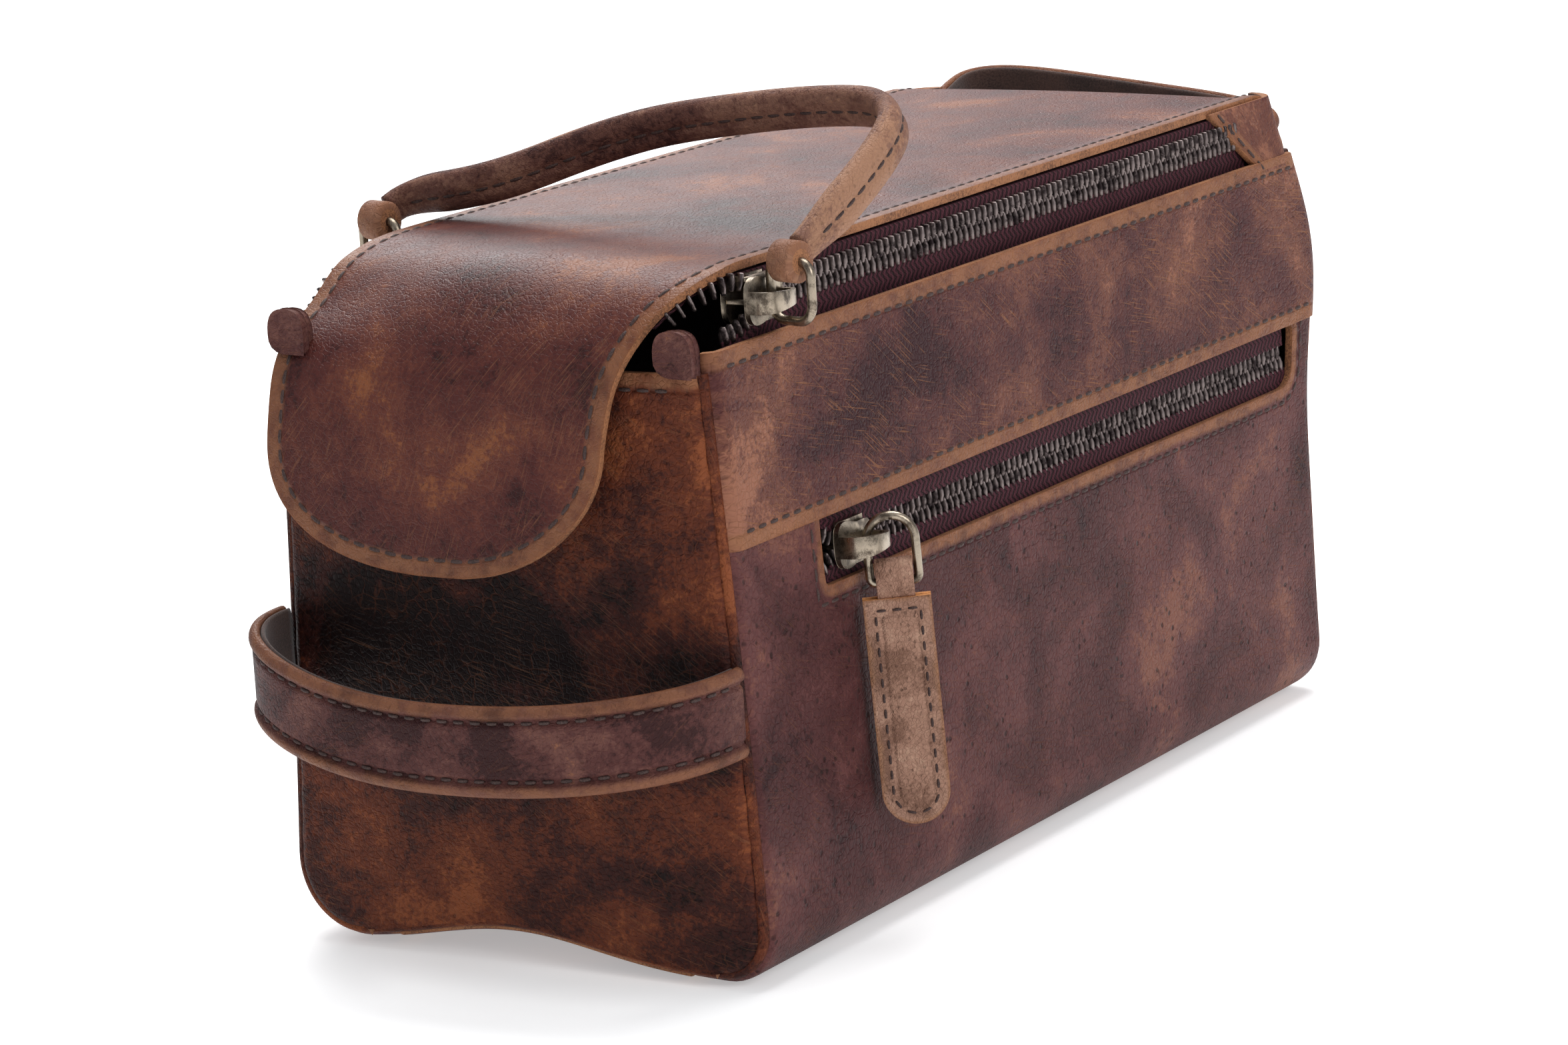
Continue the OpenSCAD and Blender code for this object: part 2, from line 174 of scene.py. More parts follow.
def build(name, verts, faces, mats, uv=None, loop_uv=None, face_mats=None, **values):
    """A smooth mesh object from millimetres. values are numbers at each vertex for the shaders."""
    mesh = bpy.data.meshes.new(name)
    mesh.from_pydata((np.asarray(verts, float) * MM).tolist(), [], [list(map(int, f)) for f in faces])
    for m in mats:
        mesh.materials.append(m)
    if face_mats is not None:
        mesh.polygons.foreach_set("material_index", np.asarray(face_mats, np.int32))
    if loop_uv is None:
        corner = np.empty(len(mesh.loops), np.int32)
        mesh.loops.foreach_get("vertex_index", corner)
        flat = np.asarray(verts, float) @ SPREAD if uv is None else np.asarray(uv, float)
        loop_uv = flat[corner]
    layer = mesh.uv_layers.new(name="flat")
    layer.data.foreach_set("uv", (np.asarray(loop_uv, float) / 100).astype(np.float32).ravel())
    for key, value in values.items():
        layer = mesh.attributes.new(key, "FLOAT", "POINT")
        layer.data.foreach_set("value", np.asarray(value, np.float32).ravel())
    mesh.polygons.foreach_set("use_smooth", np.ones(len(mesh.polygons), bool))
    mesh.validate()
    mesh.update()
    obj = bpy.data.objects.new(name, mesh)
    bpy.context.collection.objects.link(obj)
    return obj


def applied(obj):
    """The object with its modifiers made part of its mesh."""
    bpy.context.view_layer.update()
    graph = bpy.context.evaluated_depsgraph_get()
    mesh = bpy.data.meshes.new_from_object(
        obj.evaluated_get(graph), preserve_all_data_layers=True, depsgraph=graph)
    obj.modifiers.clear()
    obj.data = mesh
    return obj


def bevelled(obj, width, segments=2, angle=40):
    m = obj.modifiers.new("bevel", "BEVEL")
    m.width, m.segments, m.limit_method = width * MM, segments, "ANGLE"
    m.angle_limit = math.radians(angle)
    return applied(obj)


def attach(obj, body, *nodes, slot=None):
    """Puts a piece on its body, or for a bend only bakes its place and leaves it on no body, and stands it
    for CAD nodes.
    """
    if isinstance(body, str):
        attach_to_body(obj, body)
    else:
        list(body)
        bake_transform(obj)
    if nodes:
        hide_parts(*nodes)
    return obj


def sheet(name, grid, thick, mats, uv=None, cut=None, keep=None):
    """A sheet of leather or cloth. grid is its outer face and cut its cut edges, as polylines."""
    n, m = grid.shape[:2]
    index = np.arange(n * m).reshape(n, m)
    keep = np.ones((n - 1, m - 1), bool) if keep is None else keep
    quads = np.stack([index[:-1, :-1], index[1:, :-1], index[1:, 1:], index[:-1, 1:]], -1)[keep]
    if uv is None:
        uv = np.stack([np.cumsum(np.r_[0, np.linalg.norm(np.diff(grid[:, m // 2], axis=0), axis=1)])[:, None]
                       + np.zeros((1, m)),
                       np.cumsum(np.r_[0, np.linalg.norm(np.diff(grid[n // 2], axis=0), axis=1)])[None]
                       + np.zeros((n, 1))], -1)
    edge = np.full((n, m), NO_EDGE) if cut is None else nearest(grid, np.vstack([even(c, 0.8) for c in cut]))
    used = np.unique(quads)
    back = np.full(n * m, -1)
    back[used] = np.arange(len(used))
    obj = build(name, grid.reshape(-1, 3)[used], back[quads], mats, uv=uv.reshape(-1, 2)[used],
                edge=edge.reshape(-1)[used], wear=wear_at(grid).reshape(-1)[used])
    s = obj.modifiers.new("thick", "SOLIDIFY")
    s.thickness, s.offset = thick * MM, -1
    s.material_offset_rim = 1 if len(mats) > 1 else 0
    s.material_offset = 2 if len(mats) > 2 else 0
    return bevelled(obj, thick * ROUND_OFF, 2, 50)


def laid(name, grid, uv, thick, mats, body, *nodes, slot, flip=False, keep=None, cut=None):
    """A sheet put on its body, its rows turned round where they run the wrong way."""
    if flip:
        grid, uv, keep = grid[::-1], uv[::-1], None if keep is None else keep[::-1]
    return attach(sheet(name, grid, thick, mats, uv, cut, keep), body, *nodes, slot=slot)


def sweep(path, profile, up, closed=False, size=None):
    """Vertices, faces and corner coordinates of a profile carried along a path."""
    path = np.asarray(path, float)
    n, k = len(path), len(profile)
    t = unit(np.roll(path, -1, 0) - np.roll(path, 1, 0) if closed else np.gradient(path, axis=0))
    up = np.broadcast_to(np.asarray(up, float), path.shape)
    side = unit(np.cross(t, up))
    up = np.cross(side, t)
    size = np.ones((n, 2)) if size is None else np.broadcast_to(np.asarray(size, float), (n, 2))
    ring = np.asarray(profile, float)[None] * size[:, None]
    verts = (path[:, None] + ring[..., :1] * side[:, None] + ring[..., 1:] * up[:, None]).reshape(-1, 3)
    i, j = [g.ravel() for g in np.meshgrid(np.arange(n if closed else n - 1), np.arange(k), indexing="ij")]
    nxt, turn = (i + 1) % n, (j + 1) % k
    faces = np.stack([i * k + j, nxt * k + j, nxt * k + turn, i * k + turn], 1).tolist()
    length = np.r_[run(path), run(path)[-1] + np.linalg.norm(path[0] - path[-1])]
    around = run(np.vstack([profile, profile[:1]]))
    uv = np.stack([np.stack([length[a], around[b]], -1)
                   for a, b in ((i, j), (i + 1, j), (i + 1, j + 1), (i, j + 1))], 1).reshape(-1, 2)
    if not closed:
        faces += [list(range(k)), list(range(n * k - 1, (n - 1) * k - 1, -1))]
        uv = np.vstack([uv, profile, np.asarray(profile)[::-1]])
    return verts, faces, uv


def circle(radius, n=14, squash=1.0):
    a = np.arange(n) * 2 * np.pi / n
    return np.stack([radius * np.cos(a), radius * squash * np.sin(a)], 1)


def prism(outline, low, high):
    """A flat plate: an outline in (x, z), counter-clockwise, from y = low to y = high."""
    k = len(outline)
    o = np.asarray(outline, float)
    verts = np.vstack([np.stack([o[:, 0], np.full(k, y), o[:, 1]], 1) for y in (low, high)])
    sides = [[i, (i + 1) % k, k + (i + 1) % k, k + i] for i in range(k)]
    return verts, [list(range(k)), list(range(2 * k - 1, k - 1, -1))] + sides, None


def joined(name, shapes, mats, bevel=0.0):
    """One object from several (verts, faces, uv) shapes."""
    verts, faces, start = [], [], 0
    for v, f, _ in shapes:
        verts.append(v)
        faces += [[i + start for i in face] for face in f]
        start += len(v)
    obj = build(name, np.vstack(verts), faces, mats)
    bpy.context.view_layer.objects.active = obj
    return bevelled(obj, bevel, 3, 35) if bevel else obj


def copies(template, faces, frames, origins):
    """Many copies of a small shape; each frame's rows are its three axes."""
    v = origins[:, None] + np.einsum("kd,nde->nke", template, frames)
    k, f = len(template), np.asarray(faces)
    all_faces = (f[None] + k * np.arange(len(origins))[:, None, None]).reshape(-1, f.shape[1])
    return v.reshape(-1, 3), all_faces


def ring_faces(n, sides):
    """The quads of n bands between rings of so many points."""
    def quad(i, j):
        after = (j + 1) % sides
        return [i * sides + j, (i + 1) * sides + j, (i + 1) * sides + after, i * sides + after]
    return [quad(i, j) for i in range(n) for j in range(sides)]


def corner_arcs(corners, middle, n):
    """The rounded corners of an outline: each is x, y, radius and the angle where its arc starts."""
    points = []
    for x, y, r, lead in corners:
        cx, cy = x + math.copysign(r, middle[0] - x), y + math.copysign(r, middle[1] - y)
        a = np.radians(np.linspace(lead, lead + 90, n))
        points.append(np.stack([cx + r * np.cos(a), cy + r * np.sin(a)], 1))
    return points


def pod(rings, sides):
    """A rounded bar along its first axis: rings are (place, half width, half height)."""
    rings = [(rings[0][0], 0.02, 0.02), *rings, (rings[-1][0], 0.02, 0.02)]
    a = np.arange(sides) * 2 * np.pi / sides
    v = np.vstack([np.stack([np.full(sides, x), w * np.cos(a), h * np.sin(a)], 1) for x, w, h in rings])
    return v, ring_faces(len(rings) - 1, sides)


def stitches(name, path, up, body, pitch=3.9, length=2.9, width=0.85, slot="leather_strap"):
    """A row of single stitches along a path that lies on a surface with normals up."""
    total = run(path)[-1]
    count = max(1, int(total / pitch))
    where = (np.arange(count) + 0.5) * total / count
    centre, top = along(path, where), unit(along_values(path, up, where))
    ahead = unit(along(path, np.minimum(where + 0.6, total)) - along(path, np.maximum(where - 0.6, 0)))
    side = unit(np.cross(top, ahead))
    lift = np.cross(ahead, side)
    half = length / 2
    v, f = pod([(-half, width * 0.22, 0.10), (-half * 0.8, width * 0.42, 0.26), (0, width / 2, 0.36),
                (half * 0.8, width * 0.42, 0.26), (half, width * 0.22, 0.10)], 7)
    v = v - np.array([0, 0, 0.16]) * (1 - 0.9 * (1 - np.abs(v[:, :1]) / half) ** 0.5)
    verts, faces = copies(v, f, np.stack([ahead, side, lift], 1), centre)
    return attach(build(name, verts, faces, [THREAD]), body, slot=slot)


def along_values(path, values, where):
    s = run(path)
    return np.stack([np.interp(where, s, np.asarray(values, float)[:, k]) for k in range(3)], 1)


def seam(name, f, a, b, body, flip=1, **more):
    """Stitches along the line (a, b) of a surface f."""
    p, up = surface(f, np.asarray(a, float), np.asarray(b, float), flip)
    return stitches(name, p, up, body, **more)


def tube(name, path, profile, up, mats, edge=NO_EDGE, size=None, more_wear=0.0):
    """A leather piece of one section along a path. edge is the distance to a cut edge round the section."""
    verts, faces, uv = sweep(path, profile, up, size=size)
    edges = np.tile(np.broadcast_to(np.asarray(edge, float), len(profile)), len(path))
    wear_and_shade_values = wear_at(verts) + np.repeat(np.broadcast_to(more_wear, len(path)), len(profile))
    return build(name, verts, faces, mats, loop_uv=uv, edge=edges, wear=wear_and_shade_values)


# Places where the hide is rubbed lighter (above 0) or made darker (below 0): x, y, z, reach, amount. The dark
# spots on the near end under the tongue and by the carry strap are painted shade.
WEAR_AND_SHADE_SPOTS = [
    (-138, 8, 86, 22, 0.10), (-136, 30, 100, 22, 0.07), (-134, -6, 104, 22, -0.10), (-124, 20, 124, 26, 0.04),
    # Painted shade: the two dark near-end spots at z 60 and 66, under the tongue and by the carry strap.
    (-128, 0, 8, 26, 0.13), (-128, 36, 26, 22, 0.10), (-128, -8, 60, 36, -0.20), (-128, 34, 66, 30, -0.16),
    (-128, -44, 92, 22, 0.07), (-128, -30, 24, 26, 0.05),
    (-116, -52, 100, 24, 0.17), (-60, -52, 106, 30, -0.16), (-8, -52, 98, 26, 0.05),
    (30, -52, 112, 34, -0.10),
    (70, -52, 106, 22, 0.08), (104, -52, 112, 24, -0.02), (-90, -56, 50, 40, -0.05), (0, -55, 50, 50, -0.05),
    (70, -56, 28, 26, 0.13), (108, -56, 10, 26, 0.10), (40, -56, 8, 30, 0.04),
    (-60, 6, 140, 40, -0.05), (-20, -20, 140, 30, 0.03), (60, 10, 140, 50, 0.02), (-96, -30, 138, 20, 0.07)]


def wear_at(points):
    total = np.zeros(points.shape[:-1])
    for x, y, z, reach, amount in WEAR_AND_SHADE_SPOTS:
        total += amount * bell(np.linalg.norm(points - np.array([x, y, z]), axis=-1) / reach)
    return total


# ---------------------------------------------------------------- materials

class Shader:
    """A material's node tree. Each call adds a node and returns its output."""

    def __init__(self, name):
        self.mat = bpy.data.materials.new(name)
        self.mat.use_nodes = True
        self.tree = self.mat.node_tree
        self.tree.nodes.clear()
        self.bsdf = self.add("ShaderNodeBsdfPrincipled")
        self.tree.links.new(self.bsdf.outputs[0], self.add("ShaderNodeOutputMaterial").inputs[0])

    def add(self, kind, **props):
        node = self.tree.nodes.new(kind)
        for key, value in props.items():
            setattr(node, key, value)
        return node

    def put(self, socket, value):
        if isinstance(value, bpy.types.NodeSocket):
            self.tree.links.new(value, socket)
        elif isinstance(value, tuple) and len(value) == 3 and socket.type == "RGBA":
            socket.default_value = (*value, 1)
        else:
            socket.default_value = value

    def math(self, operation, a, b=0.0):
        node = self.add("ShaderNodeMath", operation=operation)
        self.put(node.inputs[0], a)
        self.put(node.inputs[1], b)
        return node.outputs[0]

    def plus(self, *terms):
        total = terms[0]
        for t in terms[1:]:
            total = self.math("ADD", total, t)
        return total

    def times(self, a, b):
        return self.math("MULTIPLY", a, b)

    def flat(self):
        """The flat coordinates of a hide or cloth, in millimetres."""
        node = self.add("ShaderNodeVectorMath", operation="SCALE")
        self.put(node.inputs[0], self.add("ShaderNodeUVMap", uv_map="flat").outputs[0])
        node.inputs["Scale"].default_value = 100
        return node.outputs[0]

    def solid(self):
        """Object coordinates, in millimetres."""
        node = self.add("ShaderNodeVectorMath", operation="SCALE")
        self.put(node.inputs[0], self.add("ShaderNodeTexCoord").outputs["Object"])
        node.inputs["Scale"].default_value = 1 / MM
        return node.outputs[0]

    def stretch(self, at, turn, long, short):
        """Coordinates that make a pattern long in one direction."""
        node = self.add("ShaderNodeMapping")
        self.put(node.inputs["Vector"], at)
        node.inputs["Rotation"].default_value = (0, 0, math.radians(turn))
        more = self.add("ShaderNodeVectorMath", operation="MULTIPLY")
        self.put(more.inputs[0], node.outputs[0])
        more.inputs[1].default_value = (1 / long, 1 / short, 1 / short)
        return more.outputs[0]

    def noise(self, at, size, detail=3.0, rough=0.55, distort=0.0):
        node = self.add("ShaderNodeTexNoise")
        self.put(node.inputs["Vector"], at)
        values = {"Scale": 1 / size, "Detail": detail, "Roughness": rough, "Distortion": distort}
        for key, value in values.items():
            node.inputs[key].default_value = value
        return node.outputs["Fac"]

    def warped(self, at, size, amount):
        node = self.add("ShaderNodeTexNoise")
        self.put(node.inputs["Vector"], at)
        node.inputs["Scale"].default_value = 1 / size
        shift = self.add("ShaderNodeVectorMath", operation="MULTIPLY_ADD")
        self.put(shift.inputs[0], node.outputs["Color"])
        shift.inputs[1].default_value = (amount,) * 3
        self.put(shift.inputs[2], at)
        return shift.outputs[0]

    def cells(self, at, size, feature="DISTANCE_TO_EDGE"):
        node = self.add("ShaderNodeTexVoronoi", feature=feature)
        self.put(node.inputs["Vector"], at)
        node.inputs["Scale"].default_value = 1 / size
        return node.outputs["Distance"]

    def step(self, value, low, high, a=0.0, b=1.0):
        node = self.add("ShaderNodeMapRange", interpolation_type="SMOOTHSTEP")
        self.put(node.inputs[0], value)
        if low > high:
            low, high, a, b = high, low, b, a
        for k, v in zip((1, 2, 3, 4), (low, high, a, b)):
            node.inputs[k].default_value = v
        return node.outputs[0]

    def mix(self, share, a, b):
        node = self.add("ShaderNodeMix", data_type="RGBA")
        self.put(node.inputs[0], share)
        self.put(node.inputs[6], a)
        self.put(node.inputs[7], b)
        return node.outputs[2]

    def ramp(self, value, stops):
        node = self.add("ShaderNodeValToRGB")
        self.put(node.inputs[0], value)
        line = node.color_ramp
        line.interpolation = "EASE"
        while len(line.elements) < len(stops):
            line.elements.new(0.5)
        for e, (place, colour) in zip(line.elements, stops):
            e.position, e.color = place, (*colour, 1)
        return node.outputs[0]

    def value(self, name):
        node = self.add("ShaderNodeAttribute", attribute_name=name)
        return node.outputs["Fac"]

    def bump(self, height, depth):
        """Relief of so many millimetres for a height of 1."""
        node = self.add("ShaderNodeBump")
        node.inputs["Distance"].default_value = depth * MM
        self.put(node.inputs["Height"], height)
        self.tree.links.new(node.outputs[0], self.bsdf.inputs["Normal"])

    def finish(self, colour, rough, **sockets):
        self.put(self.bsdf.inputs["Base Color"], colour)
        self.put(self.bsdf.inputs["Roughness"], rough)
        for key, value in sockets.items():
            self.put(self.bsdf.inputs[key.replace("_", " ")], value)
        return self.mat


TAN = (0.25, 0.108, 0.054)
RUST = (0.20, 0.068, 0.022)
BLACKISH = (0.016, 0.006, 0.006)
SCRATCH_WAYS = ((-38.0, 0.0), (-14.0, 37.0))      # two slants of scratches, in degrees, and a shift for each


def leather(name, shades, patch=30.0, grain=1.25, pits=0.5, crackle=0.0, scratch=0.35,
            border=3.9, edge_tan=TAN, shine=0.5, relief=0.22, wide=0.20, gloss=0.11):
    """Waxed pull-up leather: clouds of colour, pores, cracks and scratches, and a paler rubbed border."""
    s = Shader(name)
    at = s.flat()
    cloud = s.noise(at, patch, 4, 0.50, 0.5)
    mottle = s.noise(at, patch / 7, 4, 0.65, 0.3)
    speck = s.noise(at, 1.1, 3, 0.7)
    # The spot values at each vertex add rubbed wear and painted shade (the near end under the tongue and by
    # the carry strap) to the colour.
    amount = s.plus(cloud, s.times(s.plus(mottle, -0.5), 0.40), s.times(s.plus(speck, -0.5), 0.40),
                    s.value("wear"))
    stops = [(0.5 - wide + 2 * wide * k / (len(shades) - 1), c) for k, c in enumerate(shades)]
    colour = s.ramp(amount, stops)

    bent = s.warped(at, grain * 2.4, grain * 0.9)
    grains = s.cells(bent, grain)
    valley = s.step(grains, 0.0, 0.16)
    pore = s.step(s.cells(bent, grain * 1.7, "F1"), 0.30, 0.12)
    pore = s.times(pore, s.step(s.noise(at, grain * 5), 0.35, 0.62))
    colour = s.mix(s.times(pore, pits), colour, BLACKISH)

    web = s.cells(s.warped(at, 5.0, 3.4), 2.9)
    crack = s.times(s.step(web, 0.09, 0.0), s.step(s.noise(at, 16, 3), 0.44, 0.60))
    colour = s.mix(s.times(crack, crackle), colour, shades[-1])
    lines = None
    for turn, seed in SCRATCH_WAYS:
        moved = s.add("ShaderNodeVectorMath", operation="ADD")
        s.put(moved.inputs[0], at)
        moved.inputs[1].default_value = (seed, seed, 0)
        line = s.step(s.noise(s.stretch(moved.outputs[0], turn, 9, 0.34), 1.0, 2, 0.5), 0.57, 0.68)
        line = s.times(line, s.step(s.noise(moved.outputs[0], 26, 3), 0.42, 0.60))
        lines = line if lines is None else s.math("MAXIMUM", lines, line)
    colour = s.mix(s.times(lines, scratch), colour, edge_tan)

    rim = s.value("edge")
    ragged = s.plus(rim, s.times(s.plus(mottle, -0.5), 1.4), s.times(s.plus(cloud, -0.5), 2.2))
    rubbed = s.step(s.noise(at, 5.0, 4, 0.6), 0.36, 0.60, 0.38, 0.85)
    colour = s.mix(s.times(s.step(ragged, border + 0.7, border - 0.7), rubbed), colour, edge_tan)
    colour = s.mix(s.step(rim, 0.8, 0.0, 0.0, 0.45), colour, RUST)
    dip = s.step(s.math("ABSOLUTE", s.plus(rim, -STITCH_IN)), 0.75, 0.0)
    height = s.plus(s.times(valley, 0.45), s.times(speck, 0.35), s.times(pore, -0.8), s.times(crack, -0.5),
                    s.times(dip, -1.3), s.times(lines, -0.25), s.times(mottle, 0.9))
    s.bump(height, relief)
    rough = s.plus(0.62 - 0.30 * shine, s.times(mottle, 0.16), s.times(valley, -0.05), s.times(lines, 0.1))
    return s.finish(colour, rough, Specular_IOR_Level=gloss)


def raw_edge(name, light, dark):
    """The fibrous cut edge of a hide."""
    s = Shader(name)
    at = s.solid()
    fibre = s.noise(at, 0.45, 4, 0.7, 0.5)
    patches = s.times(s.plus(s.noise(at, 9, 3), -0.5), 0.5)
    colour = s.ramp(s.plus(fibre, patches), [(0.32, dark), (0.62, light)])
    s.bump(fibre, 0.22)
    return s.finish(colour, s.step(fibre, 0.3, 0.7, 0.88, 0.7))


def suede(name, light, dark):
    """The napped flesh side of a hide."""
    s = Shader(name)
    at = s.flat()
    nap = s.noise(at, 0.5, 4, 0.75)
    cloud = s.noise(at, 14, 4)
    s.bump(nap, 0.16)
    colour = s.ramp(s.plus(s.times(nap, 0.5), s.times(cloud, 0.5)), [(0.36, dark), (0.62, light)])
    return s.finish(colour, s.step(nap, 0.3, 0.7, 0.95, 0.8), Sheen_Weight=0.2)


def woven(name, light, dark, pitch=0.55, herringbone=0.0):
    """Cloth or zipper tape: crossing ribs, or slanting ribs that turn back every herringbone millimetres."""
    s = Shader(name)
    at = s.flat()
    split = s.add("ShaderNodeSeparateXYZ")
    s.put(split.inputs[0], at)
    u, v = split.outputs[0], split.outputs[1]
    turn = 2 * math.pi / pitch
    if herringbone:
        slant = s.plus(u, s.times(s.math("PINGPONG", v, herringbone), 1.0))
        ribs = s.times(s.math("SINE", s.times(slant, turn)), s.math("SINE", s.times(v, turn * 0.8)))
        ribs = s.plus(s.times(ribs, 0.30), s.times(s.math("SINE", s.times(slant, turn * 0.5)), 0.35), 0.5)
    else:
        crossing = s.times(s.math("SINE", s.times(u, turn)), s.math("SINE", s.times(v, turn)))
        ribs = s.plus(s.times(crossing, 0.5), 0.5)
    fuzz = s.noise(at, 0.35, 3, 0.7)
    tone = s.plus(s.times(ribs, 0.6), s.times(fuzz, 0.3), s.times(s.noise(at, 12, 3), 0.2))
    s.bump(s.plus(ribs, s.times(fuzz, 0.3)), 0.14)
    return s.finish(s.ramp(tone, [(0.30, dark), (0.80, light)]), s.step(fuzz, 0.3, 0.7, 0.9, 0.68),
                    Specular_IOR_Level=0.15)


def metal(name, light, dark, rough=0.26, patch=3.0):
    """Plated metal with a worn, blotchy antique finish."""
    s = Shader(name)
    at = s.solid()
    cloud = s.noise(at, patch, 5, 0.65, 0.4)
    fine = s.noise(at, 0.22, 3)
    colour = s.ramp(s.plus(cloud, s.times(s.plus(fine, -0.5), 0.2)), [(0.36, dark), (0.56, light)])
    s.bump(s.plus(s.times(cloud, 0.6), s.times(fine, 0.3)), 0.05)
    return s.finish(colour, s.step(cloud, 0.35, 0.7, rough + 0.16, rough), Metallic=1.0)


def fibre_board(name):
    s = Shader(name)
    at = s.solid()
    chips = s.noise(at, 2.2, 4, 0.7)
    s.bump(chips, 0.1)
    return s.finish(s.ramp(chips, [(0.35, (0.13, 0.09, 0.05)), (0.65, (0.30, 0.22, 0.13))]),
                    s.step(chips, 0.3, 0.7, 0.9, 0.75))


def thread(name, colour):
    s = Shader(name)
    at = s.solid()
    ply = s.noise(at, 0.3, 2, 0.6)
    s.bump(ply, 0.12)
    lit = tuple(c * 2.6 for c in colour)
    return s.finish(s.mix(s.step(ply, 0.35, 0.65), colour, lit), s.step(ply, 0.3, 0.7, 0.8, 0.6))


THREAD = thread("thread_brown", (0.022, 0.010, 0.008))
EDGE = raw_edge("hide_edge", (0.34, 0.14, 0.055), (0.12, 0.045, 0.02))
NAP = suede("hide_flesh", (0.075, 0.035, 0.024), (0.022, 0.010, 0.008))
BODY_HIDE = leather("hide_body", [(0.024, 0.007, 0.008), (0.062, 0.020, 0.020),
                                  (0.102, 0.036, 0.034), (0.180, 0.071, 0.049)],
                    pits=0.8, grain=1.5, scratch=0.2, border=2.2, wide=0.25)
END_HIDE = leather("hide_end", [(0.006, 0.002, 0.002), (0.034, 0.009, 0.007),
                                (0.098, 0.024, 0.011), (0.201, 0.057, 0.021)],
                   patch=26, pits=0.45, crackle=0.16, scratch=0.25, border=2.6, wide=0.22)
BAND_HIDE = leather("hide_band", [(0.033, 0.009, 0.011), (0.073, 0.023, 0.022),
                                  (0.132, 0.049, 0.035), (0.265, 0.111, 0.068)],
                    patch=36, pits=0.35, scratch=0.80, border=3.4, wide=0.22)
LID_HIDE = leather("hide_lid", [(0.030, 0.008, 0.008), (0.072, 0.018, 0.015),
                                (0.108, 0.030, 0.020), (0.200, 0.066, 0.027)],
                   patch=34, grain=1.0, pits=0.14, crackle=0.08, scratch=0.42, border=3.4,
                   edge_tan=(0.22, 0.092, 0.045), shine=0.75, relief=0.13, wide=0.20, gloss=0.19)
STRAP_HIDE = leather("hide_strap", [(0.034, 0.012, 0.012), (0.080, 0.029, 0.026),
                                    (0.125, 0.052, 0.042), (0.24, 0.10, 0.052)],
                     patch=18, grain=1.0, pits=0.3, scratch=0.2, border=2.6, edge_tan=(0.20, 0.084, 0.044),
                     shine=0.6, relief=0.16)
TAB_HIDE = leather("hide_tab", [(0.20, 0.105, 0.072), (0.33, 0.185, 0.130),
                                (0.44, 0.27, 0.19)],
                   patch=9, grain=0.8, pits=0.35, scratch=0.1, border=0.5, edge_tan=(0.34, 0.18, 0.10),
                   shine=0.3)
HANDLE_HIDE = leather("hide_handle", [(0.045, 0.018, 0.016), (0.115, 0.050, 0.038),
                                      (0.20, 0.10, 0.070), (0.32, 0.17, 0.105)],
                      patch=26, grain=0.9, pits=0.25, scratch=0.2, border=2.4, shine=0.35, relief=0.18)
TAB_EDGE = raw_edge("tab_edge", (0.78, 0.33, 0.11), (0.36, 0.14, 0.045))
LINING = woven("lining_twill", (0.050, 0.040, 0.040), (0.016, 0.012, 0.013), 0.7)
TAPE = woven("zip_tape_weave", (0.068, 0.018, 0.026), (0.010, 0.003, 0.004), 0.95, 1.6)
TEETH = metal("teeth_gunmetal", (0.19, 0.155, 0.148), (0.030, 0.022, 0.023), 0.33, 2.4)
BRASS = metal("antique_brass", (0.36, 0.30, 0.23), (0.085, 0.066, 0.050), 0.24, 4.0)
BOARD = fibre_board("board_fibre")
HIDES = (EDGE, NAP)


# ---------------------------------------------------------------- body

def settle(p):
    """How the soft body swells and sags. Every panel of the body goes through it, so they stay together."""
    x, y, z = p[..., 0], p[..., 1], p[..., 2]
    q = np.array(p, float)
    far = smooth((x - 88) / 40)
    q[..., 0] += far * (13.0 * bell((z - 102) / 27) + 2.6 * bell((z - 54) / 32))
    near = smooth((-x - 92) / 34)
    height = np.clip(z / SIDE_H, 0, 1)
    across = 1.8 * (np.abs(y) / HALF_W) ** 4 - 1.6 * (1 - (y / HALF_W) ** 2)
    q[..., 0] += near * np.sin(np.pi * height) * across
    q[..., 0] += far * 1.5 * np.sin(np.pi * height) * (1 - (y / HALF_W) ** 2)
    under = smooth(1 - z / 34) * bell((y - 4) / 27)
    q[..., 2] += under * (5.2 * near * near + 2.0 * far * far + 0.7)
    side = smooth((np.abs(y) - 40) / 10) * np.clip(1 - (x / HALF_L) ** 2, 0, 1) * np.sin(np.pi * height)
    q[..., 1] += np.where(y > 0, 2.4, -0.25) * side
    q[..., 1] += np.where(y > 0, 0.5, 0.12) * side * np.sin(x / 17 + 2) * np.sin(z / 11)
    return q


def bottom_turn(side):
    """A long wall's bottom edge: its radius, the height where it starts, and its middle's y."""
    r = CORNER[side]
    z_turn = r * (1 + math.sin(LEAN))
    return r, z_turn, HALF_W - SLOPE * z_turn - r * math.cos(LEAN)


def curled(d):
    """How far a panel has turned in, d from its seam."""
    return GROOVE - np.sqrt(np.clip(GROOVE ** 2 - (GROOVE - d) ** 2, 0, None))


def section(side, s, lift):
    """(y, z) of the long walls' outer face, s down from the top edge, round the bottom edge and inwards."""
    r, z_turn, y_mid = bottom_turn(side)
    straight = (SIDE_H - z_turn) / math.cos(LEAN)
    turn = r * (math.pi / 2 + LEAN)
    phi = LEAN - np.clip((s - straight) / r, 0, math.pi / 2 + LEAN)
    down = np.clip(straight - s, 0, None)
    more = np.clip(s - straight - turn, 0, None)
    y = y_mid + r * np.cos(phi) - down * math.sin(LEAN) - more + lift * np.cos(phi)
    z = r + r * np.sin(phi) + down * math.cos(LEAN) + lift * np.sin(phi)
    return side * y, z


